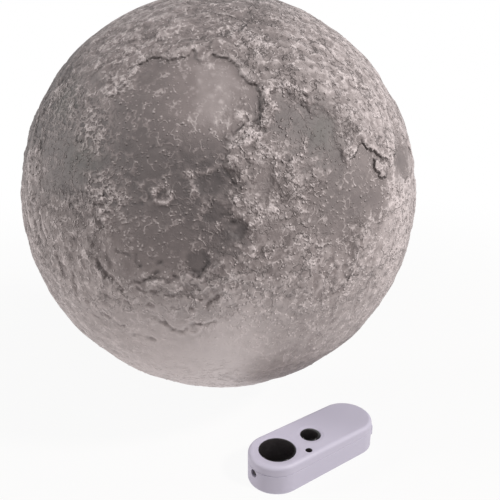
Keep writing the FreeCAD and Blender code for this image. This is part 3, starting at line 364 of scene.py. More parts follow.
# %% The seas, read off the photograph in its pixels
WEST_SEAS = seen((133, 78), (137, 66), (143, 60), (150, 57), (158, 58), (163, 61), (175, 54),
                 (191, 49), (195, 56), (201, 60), (211, 54), (220, 55), (227, 57), (234, 61),
                 (237, 68), (244, 75), (253, 82), (259, 92), (260, 104), (257, 118), (250, 130),
                 (243, 126), (236, 130), (230, 138), (231, 147), (229, 155), (224, 162), (228, 170),
                 (236, 178), (236, 188), (229, 198), (227, 208), (229, 221), (222, 230), (224, 244),
                 (214, 256), (210, 268), (199, 276), (186, 275), (174, 280), (153, 280), (139, 284),
                 (126, 290), (117, 284), (106, 277), (96, 266), (93, 250), (98, 236), (104, 222),
                 (92, 204), (70, 197), (44, 190), (36, 165), (40, 140), (48, 112), (60, 92),
                 (75, 76), (92, 72), (102, 82), (104, 95), (118, 95), (124, 84))
EAST_SEAS = seen((272, 93), (277, 89), (286, 88), (296, 93), (307, 99), (322, 106), (337, 113),
                 (343, 120), (345, 140), (345, 155), (351, 161), (358, 152), (361, 139), (366, 138),
                 (371, 148), (378, 154), (385, 160), (391, 164), (391, 172), (398, 184), (400, 198),
                 (392, 210), (380, 220), (366, 222), (360, 219), (359, 228), (353, 233), (352, 242),
                 (356, 262), (350, 282), (338, 280), (338, 258), (332, 244), (318, 236), (309, 222),
                 (304, 206), (310, 190), (318, 178), (312, 170), (303, 168), (293, 158), (280, 150),
                 (266, 142), (262, 130), (268, 118), (272, 106))
CRISIUM = seen((402, 138), (408, 142), (412, 152), (414, 165), (411, 176), (405, 180), (399, 174),
               (396, 162), (396, 150), (398, 141))
FRIGORIS = seen((150, 42), (170, 31), (190, 21), (212, 15), (238, 16), (246, 24), (240, 31),
                (222, 31), (206, 36), (190, 40), (172, 44))
VAPORUM = seen((254, 180), (262, 177), (270, 180), (275, 187), (271, 195), (262, 197), (254, 191))
DARK_BAY = seen((228, 226), (236, 222), (244, 227), (245, 236), (238, 242), (229, 239))
ISLAND = seen((375, 161), (382, 163), (387, 168), (388, 178), (381, 177), (376, 172))

# outline and how deep its floor is, as a share of the full depth
seas = [(WEST_SEAS, 1.0), (EAST_SEAS, 1.0), (CRISIUM, 0.75), (FRIGORIS, 0.35), (VAPORUM, 0.3),
        (DARK_BAY, 0.5)]
SEA_DEPTH = 0.55
CLIFF, SOFT_CLIFF = 1.2, 12.0    # width of a steep and of a gentle shore
LIP, LIP_REACH = 0.16, 3.5
SOFT_SHORES = (    # pixel of the photograph, reach in mm: here a shore fades out gently
    ((48, 180), 55.0), ((58, 100), 48.0), ((98, 236), 36.0), ((380, 215), 26.0), ((340, 245), 24.0),
    ((318, 190), 22.0), ((228, 225), 26.0), ((150, 283), 14.0), ((390, 195), 24.0),
    ((324, 106), 13.0),
)
firm = np.ones(skin_count)
for pixel, reach in SOFT_SHORES:
    firm *= ramp(gap_to(pixel), reach * 0.5, reach)
crisp = firm * ramp(rough(26, 3, 81.0), -0.45, 0.15)
cliff = CLIFF + SOFT_CLIFF * (1 - crisp)
height = np.zeros(skin_count)
sea = np.zeros(skin_count)
for corners, share in seas:
    depth_in = within(shore_spot, corners)
    floor_share = ramp(depth_in / cliff, -0.5, 0.5) * share
    sea = np.maximum(sea, ramp(depth_in / cliff, -1, 1) * min(1.0, share * 1.6))
    height -= SEA_DEPTH * floor_share
    lip = np.exp(-(np.minimum(depth_in + CLIFF / 2, 0) / LIP_REACH) ** 2) * (depth_in < -CLIFF / 2)
    height += LIP * lip * crisp * share * (1 + 1.5 * shore_lumps)
island = ramp(within(shore_spot, ISLAND), -CLIFF / 2, CLIFF / 2)
height += SEA_DEPTH * island * sea
sea *= 1 - island
print("sea share of the skin:", round(float(sea.mean()), 3))

# %% [markdown]
# ## The dome: terraces and calm parts
# The highlands are terraced, because the mould was cut in thin steps. A smooth noise is turned into
# steps with short steep flanks. The far south is nearly bare, and some patches are quieter than
# the rest, so the terraces fade there.

# %% Highland terraces and the calm southern part
CALM_MIDDLE, CALM_REACH = (205, 352), (62, 34)
QUIET_FROM, QUIET_TO = 5.0, 55.0    # mm below the middle
QUIET_PATCHES = (((264, 216), 18), ((262, 170), 12), ((384, 232), 18), ((372, 190), 14),
                 ((62, 232), 24), ((72, 272), 22))
TERRACE, FLAKE, SAND = 0.28, 0.18, 0.03
SEA_SWELL, SEA_SAND = 0.05, 0.022


def stepped(x, low, high):
    """Steps one high, whose flanks run from low to high of each step's width."""
    return np.floor(x) + ramp(x - np.floor(x), low, high)


calm = np.exp(-(np.linalg.norm((spot - seen(CALM_MIDDLE)[0]) / CALM_REACH, axis=1)) ** 2)
quiet = ramp(-spot[:, 1], QUIET_FROM, QUIET_TO)
for pixel, reach in QUIET_PATCHES:
    quiet = np.maximum(quiet, np.exp(-(gap_to(pixel) / reach) ** 4))
land = (1 - sea) * (1 - 0.85 * calm) * (1 - 0.5 * quiet)
terrace = stepped(rough(22, 6, 21.0) * 4.2 + rough(5, 4, 27.0) * 0.8, 0.38, 0.62)
flakes = stepped(rough(7, 5, 33.0) * 3.0, 0.3, 0.7)
height += land * (TERRACE * terrace + FLAKE * flakes + SAND * rough(2.6, 3, 41.0))
height += sea * (SEA_SWELL * rough(26, 3, 47.0) + SEA_SAND * rough(4, 3, 51.0))
print("height from", height.min().round(2), "to", height.max().round(2))

# %% [markdown]
# ## The dome: named ridges, chains and craters
# Some features show clearly in the photograph: the mountain arc on the east of the great northern
# sea, the bright crater ring in the west, the long scarp in the east. They are placed one by one.
# A chain is a band of pimples, a ridge is one raised line, and a crater is a ring round a hollow.

# %% Chains of pimples
pimples = np.maximum(rough(3.2, 3, 61.0), 0)
CHAINS = {    # corners in pixels, half width in mm, height
    "mountains by the north sea": (((266, 87), (270, 97), (272, 107), (262, 122), (252, 131)),
                                   3.6, 1.0),
    "great arc": (((262, 124), (254, 134), (246, 142), (236, 150), (234, 160)), 4.5, 0.9),
    "arc's foothills": (((246, 150), (262, 152), (280, 158), (296, 164), (310, 172)), 9.0, 0.42),
    "southern foot of the arc": (((234, 188), (236, 200), (246, 208), (262, 212)), 7.0, 0.40),
    "bay's highland": (((134, 70), (124, 82), (112, 90), (104, 94)), 6.0, 0.8),
    "north of the bay": (((142, 56), (132, 50), (120, 56)), 4.5, 0.6),
    "west chain": (((106, 181), (109, 191), (104, 203), (100, 219), (104, 224)), 3.2, 1.1),
    "serpent in the east sea": (((307, 135), (306, 146), (303, 155), (301, 160)), 1.2, 0.9),
    "shore at the north-east": (((277, 89), (288, 86), (300, 92), (310, 97)), 3.0, 0.9),
    "plateau in the east": (((349, 140), (353, 150), (354, 160)), 3.5, 0.7),
    "south-eastern specks": (((398, 190), (404, 215), (400, 245), (392, 270)), 9.0, 0.6),
    "middle chain": (((188, 172), (194, 188), (200, 201), (204, 208)), 2.6, 0.75),
    "northern specks": (((205, 28), (222, 24), (240, 30), (262, 44)), 9.0, 0.5),
    "crater cluster": (((240, 112), (248, 117), (252, 124)), 3.6, 0.8),
    "bright western ring": (((155, 190), (160, 187), (166, 189), (169, 195), (166, 201), (160, 203),
                             (154, 199), (153, 193), (155, 190)), 1.7, 0.8),
    "ocean's bright crater": (((76, 142), (82, 138), (80, 132), (84, 126)), 3.0, 0.8),
    "specks south of the ocean": (((88, 178), (98, 190), (96, 205)), 7.0, 0.6),
    "north-west specks": (((62, 118), (74, 104), (84, 96)), 8.0, 0.55),
}
# tops of the chains' pimples, later painted paler in the tone as a painted highlight with some
# rubbed paint
chain_highlight = np.zeros(skin_count)
chained = np.zeros(skin_count)
for corners, reach, tall in CHAINS.values():
    band = np.exp(-(far_from_line(spot + jag, seen(*corners)) / reach) ** 2)
    chain_highlight = np.maximum(chain_highlight, band * np.minimum(pimples * 2.2, 1))
    chained = np.maximum(chained, band * min(1.0, tall * 1.3))
    height += band * tall * (pimples * 1.7 + 0.12)
print("chains:", len(CHAINS))

# %% [markdown]
# ## The dome: ridges, grooves and short strokes
# A ridge is a line with a soft profile, and a groove is the same thing below nought. The
# lower sides of the short steps in the south-west lie in the shade, so they are drawn as
# grooves too. Two masks are kept for the paint: grooves are painted darker, as painted shade,
# and high crests paler, as a painted highlight with some rubbed paint.

# %% Named ridges
RIDGES = {    # corners in pixels, half width in mm, height in mm
    "straight line": (((199, 170.5), (212, 170)), 0.8, 0.5),
    "straight line's hook": (((213, 169), (216, 164), (219, 166)), 0.8, 0.4),
    "small hook": (((201, 162), (202, 159), (205, 158)), 0.8, 0.3),
    "long thin line": (((177, 126), (178, 150), (177, 170), (181, 174)), 0.7, 0.28),
    "dark line's crest": (((150, 148), (162, 144), (172, 142)), 0.9, -0.22),
    "west wrinkle": (((112, 204), (126, 206), (142, 205)), 0.9, -0.25),
    "arc in the middle": (((189, 187), (191, 191), (197, 193)), 0.9, 0.4),
    "small lip": (((218, 199), (221, 201), (224, 200.5)), 0.8, 0.35),
    "hills under the spot": (((257, 210), (258, 217), (265, 216), (272, 215)), 1.1, -0.3),
    "north groove": (((122, 43), (138, 39), (152, 34), (158, 36)), 1.3, -0.4),
    "north-west groove": (((100, 66), (112, 58), (128, 54)), 1.2, -0.3),
    "eastern groove": (((292, 12), (303, 20), (313, 22)), 1.3, -0.4),
    "long eastern crack": (((331, 24), (343, 31), (352, 40), (362, 52)), 1.4, -0.5),
    "second eastern crack": (((334, 24), (340, 30), (343, 34)), 1.2, -0.4),
    "south-west scarp": (((96, 266), (106, 277), (117, 284), (122, 292)), 1.2, -0.9),
    "south-west arc": (((139, 283), (153, 280), (166, 281), (174, 278)), 1.2, -0.8),
    "south-west dashes": (((100, 312), (111, 320), (118, 325), (124, 326)), 1.1, -0.7),
    "long south-west step": (((84, 250), (92, 258), (97, 266)), 1.2, -0.4),
    "southern arc": (((163, 322), (172, 331), (182, 332), (193, 325), (205, 326), (217, 323)),
                     1.1, -0.8),
    "crater's lower scarp": (((186, 272), (196, 276), (206, 272), (210, 266)), 1.6, -0.5),
}
print("named ridges:", len(RIDGES))

# %% Strokes of the western limb and of the south-west
LIMB_STROKES = (    # corners, half width, height: crests above nought, dashes below
    (((34, 226), (37, 236), (39, 243)), 1.5, -0.7),
    (((43, 226), (47, 236), (52, 246)), 1.4, -0.6),
    (((31, 180), (33, 194), (37, 212)), 1.2, -0.5),
    (((56, 258), (60, 268), (64, 278)), 1.3, -0.5),
    (((66, 250), (69, 256), (71, 262)), 1.2, -0.6),
    (((72, 272), (73, 284), (75, 296)), 1.2, -0.5),
    (((38, 120), (34, 134), (32, 148)), 1.3, -0.6),
    (((46, 104), (42, 114), (39, 122)), 1.3, -0.6),
    (((42, 106), (37, 118), (34, 128)), 1.6, 0.5),
    (((29, 160), (28, 176), (29, 192)), 1.8, 0.5),
    (((26, 198), (27, 212), (30, 226)), 1.5, 0.7),
    (((41, 128), (37, 142), (35, 152)), 1.5, 0.5),
    (((38, 214), (41, 226), (45, 236)), 1.3, 0.5),
    (((30, 206), (32, 218), (34, 226)), 1.2, -0.8),
    (((27, 168), (26, 180), (27, 192)), 1.1, -0.6),
    (((36, 152), (33, 164), (32, 174)), 1.2, -0.6),
    (((50, 96), (58, 84), (66, 74)), 1.3, -0.6),
)
SHORT_STROKES = (    # corners: the short steps of the south-west
    ((55, 258), (64, 269)), ((78, 258), (83, 268)), ((84, 301), (95, 305)), ((92, 315), (108, 322)),
    ((127, 284), (146, 280), (154, 274)), ((135, 290), (148, 293), (159, 293)),
    ((175, 308), (184, 311), (192, 310)), ((181, 266), (194, 273)), ((205, 308), (218, 298)),
    ((135, 336), (154, 340)), ((114, 253), (127, 257)), ((135, 256), (138, 266)),
    ((60, 222), (66, 233)), ((88, 238), (93, 247)), ((72, 238), (77, 247)),
    ((104, 258), (109, 268)), ((150, 262), (160, 266)), ((166, 296), (176, 299)),
    ((118, 300), (128, 304)), ((142, 306), (152, 308)), ((186, 296), (198, 299)),
    ((222, 314), (232, 308)), ((240, 300), (250, 296)), ((150, 318), (160, 322)),
    ((70, 205), (74, 216)),
)
STROKE_REACH, STROKE_DEPTH = 1.15, -0.55
CREST_FROM = 0.45    # a ridge higher than this is painted paler
# masks for the paint: painted shade in grooves and on the shaded lower sides of steps, and a painted
# highlight on high ridges
groove_shade = np.zeros(skin_count)
ridge_highlight = np.zeros(skin_count)
for corners, reach, tall in (*RIDGES.values(), *LIMB_STROKES,
                             *((line, STROKE_REACH, STROKE_DEPTH) for line in SHORT_STROKES)):
    band = np.exp(-(far_from_line(spot + jag + 0.3 * warp, seen(*corners)) / reach) ** 2)
    if tall < 0:    # a groove breaks off here and there
        band *= np.clip(0.75 + 1.3 * shore_lumps, 0.15, 1.3)
        groove_shade = np.maximum(groove_shade, band)
    elif tall > CREST_FROM:
        ridge_highlight = np.maximum(ridge_highlight, band)
    height += tall * band
print("ridges and strokes:", len(RIDGES) + len(LIMB_STROKES) + len(SHORT_STROKES))

# %% Craters
def crater(middle, reach, deep=0.5, rim=0.35, peak=0.0):
    """A ring with a hollow floor and, where asked, a peak in its middle."""
    global height
    apart = np.linalg.norm(spot + jag * 0.6 - middle, axis=1) / reach
    near = apart < 2.2
    a = apart[near]
    bowl = -deep * ramp(1.0 - a, 0.0, 0.45)
    ring = rim * np.exp(-((a - 1.02) / 0.2) ** 2) * np.clip(0.7 + 1.1 * shore_lumps[near], 0, 1.6)
    cone = peak * np.exp(-(a / 0.2) ** 2)
    height[near] += bowl + ring + cone


KM_PER_DEGREE = 30.3
REAL_CRATERS = (    # latitude, longitude, width in km
    (-43.3, -11.4, 86), (8.1, -38.0, 31), (51.6, -9.4, 101), (50.2, 17.4, 88), (44.3, 16.3, 67),
    (46.7, 44.4, 87), (46.7, 39.1, 69), (27.7, 55.5, 131), (-8.9, 61.1, 132), (-25.3, 60.4, 177),
    (-11.4, 26.4, 100), (-13.2, 24.0, 98), (-18.1, 23.4, 104), (-9.3, -1.9, 154),
    (-13.7, -3.2, 119), (-18.2, -1.9, 97), (-11.7, 4.3, 129), (-5.1, 5.2, 138), (-58.8, -14.1, 231),
    (-50.5, -6.3, 194), (-49.6, -21.8, 157), (-44.3, -55.3, 227), (-17.6, -40.1, 110),
    (-5.5, -68.3, 173), (14.5, -11.3, 59), (29.7, -4.0, 82), (33.9, 1.2, 55), (30.7, 1.5, 39),
    (-20.7, -22.2, 61), (21.3, 46.0, 64), (53.9, 57.0, 123), (-33.0, 0.6, 150), (-28.3, -1.6, 80),
    (-41.5, 6.0, 115), (-41.1, 14.0, 88), (-29.7, 32.2, 90), (-21.3, 33.2, 80), (-35.0, 41.0, 80),
    (73.0, 10.0, 90), (62.0, 50.0, 120), (-40.0, 30.0, 70), (-52.0, 20.0, 85), (-33.0, 22.0, 70),
)
for latitude, longitude, width in REAL_CRATERS:
    reach = width / 2 / KM_PER_DEGREE * MM_PER_DEGREE
    crater_wear_and_brink_highlight = 0.45 if latitude < -15 else 0.8
    crater(moon(latitude, longitude), reach, deep=crater_wear_and_brink_highlight * (0.16 + 0.03 * reach),
           rim=crater_wear_and_brink_highlight * (0.16 + 0.02 * reach), peak=crater_wear_and_brink_highlight * 0.3 if 40 < width < 140 else 0.0)

PICTURED_CRATERS = (    # middle in pixels, radius in mm, depth, rim
    ((161, 195), 4.3, 0.25, 0.6), ((333, 108), 3.4, 0.3, 0.45), ((236, 232), 6.0, 0.2, 0.08),
    ((212, 212), 7.4, 0.25, 0.12), ((212, 183), 7.0, 0.2, 0.1), ((198, 263), 7.8, 0.35, 0.15),
    ((244, 101), 1.6, 0.1, 0.45), ((194, 331), 3.0, 0.2, 0.3), ((106, 300), 7.0, 0.35, 0.1),
    ((190, 293), 7.0, 0.3, 0.1), ((182, 318), 6.0, 0.3, 0.1), ((392, 200), 2.4, 0.2, 0.4),
    ((247, 118), 2.2, 0.2, 0.4),
)
for pixel, reach, deep, rim in PICTURED_CRATERS:
    crater(seen(pixel)[0], reach, deep, rim)
print("craters:", len(REAL_CRATERS) + len(PICTURED_CRATERS))

# %% Bumps, pits and scattered specks
def bump(middle, reach, tall):
    global height
    apart = np.linalg.norm(spot - middle, axis=1) / reach
    near = apart < 2.5
    height[near] += tall * np.exp(-apart[near] ** 2)


BUMPS = (    # middle in pixels, radius in mm, height
    ((210, 64), 1.3, 0.9), ((213, 73), 0.8, 0.4), ((221, 101), 1.0, 0.7), ((278, 176), 1.9, 0.95),
    ((310, 221), 1.2, 0.9), ((325, 206), 1.0, 0.6), ((330, 170), 1.3, 0.7), ((341, 188), 1.3, 0.8),
    ((349, 183), 0.9, 0.5), ((107, 148), 1.0, 0.6), ((101, 172), 1.4, 0.8), ((80, 136), 1.8, 0.9),
    ((73, 141), 1.2, 0.6), ((82, 129), 1.0, 0.5), ((131, 171), 1.4, 0.8), ((140, 186), 1.3, 0.7),
    ((127, 181), 1.2, 0.5), ((117, 174), 1.2, 0.6), ((159, 181), 0.9, 0.6), ((189, 173), 1.4, 0.8),
    ((274, 210), 1.4, 0.7), ((161, 151), 0.9, 0.6), ((166, 229), 1.1, 0.7), ((195, 226), 0.9, 0.6),
    ((201, 57), 1.0, 0.5), ((163, 61), 1.6, 0.5), ((375, 188), 0.9, 0.5), ((384, 189), 0.9, 0.6),
    ((120, 229), 1.1, 0.6), ((131, 240), 1.1, 0.6), ((121, 213), 0.7, 0.5), ((145, 213), 0.7, 0.5),
)
for pixel, reach, tall in BUMPS:
    bump(seen(pixel)[0], reach, tall)
PITS = ((354, 78), (381, 97), (378, 121), (392, 137), (346, 267), (363, 243), (351, 88), (366, 109),
        (388, 81), (389, 86), (333, 262), (319, 27), (300, 18))
PIT_REACH, PIT_DEPTH = 1.1, -0.9
for pixel in PITS:
    bump(seen(pixel)[0], PIT_REACH, PIT_DEPTH)

SPECKS = 1500
SPECK_FIELD = DOME_RADIUS * 1.5
draw = np.random.default_rng(20)
place = draw.uniform(-1, 1, (SPECKS, 2)) * SPECK_FIELD
place = place[np.linalg.norm(place, axis=1) < SPECK_FIELD]
for middle in place:
    nearest = int(np.argmin(((spot - middle) ** 2).sum(1)))
    if calm[nearest] > 0.5:
        continue
    reach = draw.uniform(0.7, 1.25)
    tall = draw.uniform(0.15, 0.45) * (0.75 if sea[nearest] > 0.5 else 1.0)
    bump(middle, reach, tall if draw.random() < 0.7 or sea[nearest] > 0.5 else -tall)
print("specks:", len(place))

# %% [markdown]
# ## The dome: from heights to a closed shell
# The heights are set to end at the surface of the CAD solid's ball, so that nothing rises above it.
# The rim stays a true circle, because it is what meets the cover. The difference between a point
# and its neighbours' mean is kept as an attribute, and the material reads it: crests are painted
# paler, as a painted highlight with some rubbed paint, and grooves darker, as painted shade.

# %% The dome's mesh
TOP_HEIGHT, DEEPEST = 0.8, -3.0
SOFT_TOP = 0.35
RIM_BAND = 0.03
rim_fade = ramp(-ways[:, 1], 0.0, RIM_BAND)
height = np.maximum(height - TOP_HEIGHT, DEEPEST)
squeezed = -SOFT_TOP * np.exp(-(np.maximum(height, -SOFT_TOP) + SOFT_TOP) / SOFT_TOP)
height = np.where(height > -SOFT_TOP, squeezed, height) * rim_fade
for vert, way, lift in zip(bm.verts, ways, height):
    vert.co = Vector(way) * (DOME_RADIUS + lift)
bm.verts.ensure_lookup_table()
for vert in bm.verts:
    if abs(vert.co.y) < 0.02:
        vert.co.y = 0.0
RINGS = 14
RELIEF_ROOM = 1.2
inner_radius = DOME_RADIUS - DOME_WALL - RELIEF_ROOM
loop = [edge for edge in bm.edges if edge.is_boundary]
for ring in range(RINGS):
    slope = math.pi / 2 * ring / RINGS
    made = bmesh.ops.extrude_edge_only(bm, edges=loop)
    corners = [g for g in made["geom"] if isinstance(g, bmesh.types.BMVert)]
    loop = [g for g in made["geom"] if isinstance(g, bmesh.types.BMEdge) and g.is_boundary]
    for vert in corners:
        turn = math.atan2(vert.co.z, vert.co.x)
        reach = inner_radius * math.cos(slope)
        vert.co = (reach * math.cos(turn), -inner_radius * math.sin(slope), reach * math.sin(turn))
last = bmesh.ops.extrude_edge_only(bm, edges=loop)
tips = [g for g in last["geom"] if isinstance(g, bmesh.types.BMVert)]
bmesh.ops.pointmerge(bm, verts=tips, merge_co=(0, -inner_radius, 0))
bmesh.ops.recalc_face_normals(bm, faces=bm.faces)
bmesh.ops.triangulate(bm, faces=[f for f in bm.faces if len(f.verts) > 4])
bmesh.ops.translate(bm, verts=bm.verts, vec=tuple(centre))
bmesh.ops.scale(bm, verts=bm.verts, vec=(MM, MM, MM))
for f in bm.faces:
    f.smooth = True
moon_mesh = bpy.data.meshes.new("moon_dome_shell")
bm.to_mesh(moon_mesh)
unclosed = sum(len(edge.link_faces) != 2 for edge in bm.edges)
bm.free()
triangles = sum(len(p.vertices) - 2 for p in moon_mesh.polygons)
print("dome triangles:", triangles, "edges without two faces:", unclosed)

# %% [markdown]
# ## The dome: what the paint reads
# The real shell looks sprayed through masks, so its greys follow the map only roughly. Each named
# region has a level of grey. Most of these levels weren't picked by eye: they were typed in steps
# of 0.05, and follow levels worked out from the brightness of the photograph and of a render.
# Between regions the levels blend, and the noise that bends the shores bends the paint too. Other
# attributes say where crests get a painted highlight and grooves painted shade, where greenish
# spray lies, and which parts are smooth or busy with small curls.
# region has a level of grey. Most of these levels weren't picked by eye: they were typed in steps
# of 0.05, and follow ones that a scratch script had worked out from the brightness of the
# photograph and of a render. Between regions the levels blend, and the noise that bends the shores
# bends the paint too. Other attributes say where crests are rubbed pale, where greenish spray
# lies, and which parts are smooth or busy with small curls.

# %% Crests from the heights
CREST_ROUNDS, CREST_HEIGHT = 7, 0.35
ends = np.zeros(len(moon_mesh.edges) * 2, np.int32)
moon_mesh.edges.foreach_get("vertices", ends)
ends = ends.reshape(-1, 2)
ends = ends[(ends < skin_count).all(1)]
count = np.bincount(ends.ravel(), minlength=skin_count)
mean = height.copy()
for _ in range(CREST_ROUNDS):
    total = (np.bincount(ends[:, 0], mean[ends[:, 1]], skin_count)
             + np.bincount(ends[:, 1], mean[ends[:, 0]], skin_count))
    mean = total / np.maximum(count, 1)
# above nought a crest is painted paler, a painted highlight with some rubbed paint; below nought a
# groove is painted darker, as painted shade
crest = np.clip((height - mean) / CREST_HEIGHT, -0.4, 1) * (1 - 0.8 * calm)
print("crests from", crest.min().round(2), "to", crest.max().round(2))

# %% Levels of grey, region by region
TONES = (    # what is painted there, pixel of the photograph, reach in mm, how pale
    ("pale middle of the north sea", (212, 88), 26, 0.70),
    ("north sea's west", (165, 85), 16, 0.25),
    ("west ocean", (110, 160), 34, 0.10),
    ("bay", (150, 72), 9, 0.25),
    ("dark west patch", (62, 105), 17, 0.05),
    ("ocean's dark middle", (80, 158), 13, 0.05),
    ("west edge", (34, 170), 9, 0.45),
    ("dark middle", (207, 215), 26, 0.10),
    ("darkest middle", (208, 175), 14, 0.05),
    ("south-west sea", (165, 250), 26, 0.40),
    ("south-west land", (85, 265), 30, 0.55),
    ("lower left land", (110, 310), 26, 0.75),
    ("southern plain", (215, 340), 34, 0.95),
    ("bright calm", (225, 348), 16, 1.10),
    ("south-east land", (300, 320), 34, 0.60),
    ("middle right", (300, 250), 26, 0.45),
    ("east highland", (395, 230), 24, 0.70),
    ("north-east highland", (375, 100), 30, 0.60),
    ("top right", (330, 45), 26, 0.55),
    ("top", (240, 18), 18, 0.35),
    ("top left", (150, 35), 20, 0.45),
    ("left highland", (105, 60), 14, 0.40),
    ("bay's highland", (116, 86), 8, 0.50),
    ("east sea", (312, 130), 17, 0.15),
    ("east sea's south", (335, 205), 18, 0.25),
    ("eastern bay", (367, 160), 8, 0.40),
    ("round eastern sea", (404, 160), 7, 0.25),
    ("arc's foothills", (280, 160), 13, 0.45),
    ("under the arc", (255, 207), 13, 0.60),
    ("smooth bay by the arc", (264, 188), 8, 0.35),
    ("mountains by the north sea", (262, 60), 18, 0.35),
    ("dark spot", (236, 231), 7, 0.20),
    ("lower right rim", (345, 330), 20, 0.70),
    ("north rim", (214, 37), 12, 0.20),
    ("between the seas", (264, 112), 11, 0.10),
    ("shelf of the east sea", (340, 92), 11, 0.50),
    ("eastern plateau", (362, 134), 9, 0.40),
    ("eastern edge of the sea", (378, 200), 10, 0.25),
    ("bright south-west patch", (146, 332), 11, 0.95),
    ("south middle", (202, 306), 11, 0.50),
    ("under the western land", (104, 250), 11, 0.65),
    ("shore by the dark spot", (254, 228), 8, 0.55),
    ("middle hills", (298, 204), 9, 0.60),
    ("east of the middle", (368, 260), 12, 0.55),
)
DISCS = (((235, 231), 5.6, 0.15), ((209, 186), 6.0, 0.10), ((198, 262), 6.2, 0.20))
DISC_HOLD = 0.85
# how much paler high ridges and the chains' pimple tops are painted, as a painted highlight, and how
# much darker grooves, as painted shade
RIDGE_HIGHLIGHT, GROOVE_SHADE, CHAIN_HIGHLIGHT = 0.22, 0.16, 0.06
weights = np.stack([np.exp(-(gap_to(pixel, spot + warp) / reach) ** 2)
                    for _, pixel, reach, _ in TONES]) + 1e-9
tone = (weights * np.array([[row[3]] for row in TONES])).sum(0) / weights.sum(0)
for pixel, reach, grey in DISCS:    # small smooth dark plains, round as coins
    inside = ramp(gap_to(pixel, spot + 0.3 * jag) / reach, 1.15, 0.75)
    tone += DISC_HOLD * inside * (grey - tone)
# painted highlight on high ridges, with some rubbed paint, and painted shade in grooves
tone += RIDGE_HIGHLIGHT * ridge_highlight - GROOVE_SHADE * groove_shade
# seas a little darker, a random blotch, and the painted highlight on the chains' pimple tops
tone += 0.03 * (0.5 - sea) + 0.05 * rough(9, 5, 71.0) + CHAIN_HIGHLIGHT * chain_highlight
print("tone from", tone.min().round(2), "to", tone.max().round(2))

# %% Moss-grey, busy and smooth patches
MOSS_PATCHES = (((64, 98), 13), ((80, 154), 11), ((325, 132), 10))
BUSY_PATCHES = (((60, 102), 24), ((90, 128), 16), ((102, 192), 13))
CALM_PATCHES = (    # pixel of the photograph, reach in mm, how smooth
    ((214, 84), 22, 0.8), ((150, 72), 8, 0.6), ((404, 160), 8, 0.9), ((264, 188), 7, 0.6),
    ((235, 231), 5.6, 0.9), ((302, 170), 5, 0.6), ((209, 186), 6, 0.7), ((325, 122), 9, 0.4),
    ((198, 262), 6, 0.5),
)
moss = sum(np.exp(-(gap_to(pixel, spot + 2 * warp) / reach) ** 2) for pixel, reach in MOSS_PATCHES)
busy = np.max([np.exp(-(gap_to(pixel, spot + warp) / reach) ** 4)
               for pixel, reach in BUSY_PATCHES], axis=0)
busy = np.maximum(0.8 * busy, 0.6 * chained)
smooth = 0.9 * calm
for pixel, reach, share in CALM_PATCHES:
    smooth = np.maximum(smooth, share * np.exp(-(gap_to(pixel, spot + warp) / reach) ** 4))
READ_BY_PAINT = {"crest": crest, "tone": np.clip(tone, 0, 1), "moss": moss,
                 "sea": np.maximum(sea, 0.6 * quiet), "smooth": smooth, "busy": busy}
for name, values in READ_BY_PAINT.items():
    attribute = moon_mesh.attributes.new(name, "FLOAT", "POINT")
    full = np.zeros(len(moon_mesh.vertices), np.float32)
    full[:skin_count] = values
    attribute.data.foreach_set("value", full)
    print(name, "mean", values.mean().round(2))

# %% [markdown]
# ## The dome's finish: painted frosted polypropylene
# The shell is moulded in a milky plastic, sprayed in greys like a map and rubbed back. It is matte
# with a faint satin sheen. The tone attribute picks the grey. The crest attribute pales crests, a
# painted highlight with some rubbed paint, and darkens grooves as painted shade. Finer forms than
# the mesh can hold are laid on as patterns: each adds a height to the relief, and on pimples, lines
# and the brinks of steps it also paints the tops paler, as a painted highlight.

# %% Painted polypropylene: what it reads
# sprayed polypropylene, matte: its crests are painted paler, a painted highlight with some rubbed
# paint, and its grooves darker, as painted shade
painted = start_material("sprayed_frosted_polypropylene")
coords = add(painted, "TexCoord")
reads = {name: (add(painted, "Attribute", attribute_name=name), "Fac") for name in READ_BY_PAINT}
NOISES = {    # size of the largest lumps in mm, detail, roughness
    "grain": (0.9, 3.0, 0.6),    # the dots of the spray, drawn coarser than life so that they show
    "blotch": (6.0, 4.0, 0.6),    # how evenly the spray gun was moved
    "wrinkle": (8.0, 2.0, 0.6),
    "curl": (4.2, 2.0, 0.6),
    "flake": (21.0, 7.0, 0.66),
}
noises = {name: (add(painted, "TexNoise", {"Vector": (coords, "Object"), "Scale": 1 / (size * MM),
                                           "Detail": detail, "Roughness": roughness}), 0)
          for name, (size, detail, roughness) in NOISES.items()}
# paleness from the spray's grain, and painted highlights on the tops of patterns
relief, highlights_and_pale_spray = 0.0, 0.0


def lay_on(pattern, tall, pale):
    """Add a pattern to the relief, in mm, and to how much paler the paint is: on pimples, lines and
    brinks a painted highlight.
    """
    global relief, highlights_and_pale_spray
    relief = add(painted, "Math", {0: pattern, 1: tall, 2: relief}, operation="MULTIPLY_ADD"), 0
    highlights_and_pale_spray = add(painted, "Math", {0: pattern, 1: pale, 2: highlights_and_pale_spray}, operation="MULTIPLY_ADD"), 0


lay_on(noises["grain"], 0.16, 0.06)
print("the paint reads", list(reads), "and", list(noises))

# %% Pimples, wrinkles and curls
PIMPLE_SIZES = ((3.3, 1.1, 0.36), (2.1, 0.8, 0.44))    # cell and height in mm, reach in cells
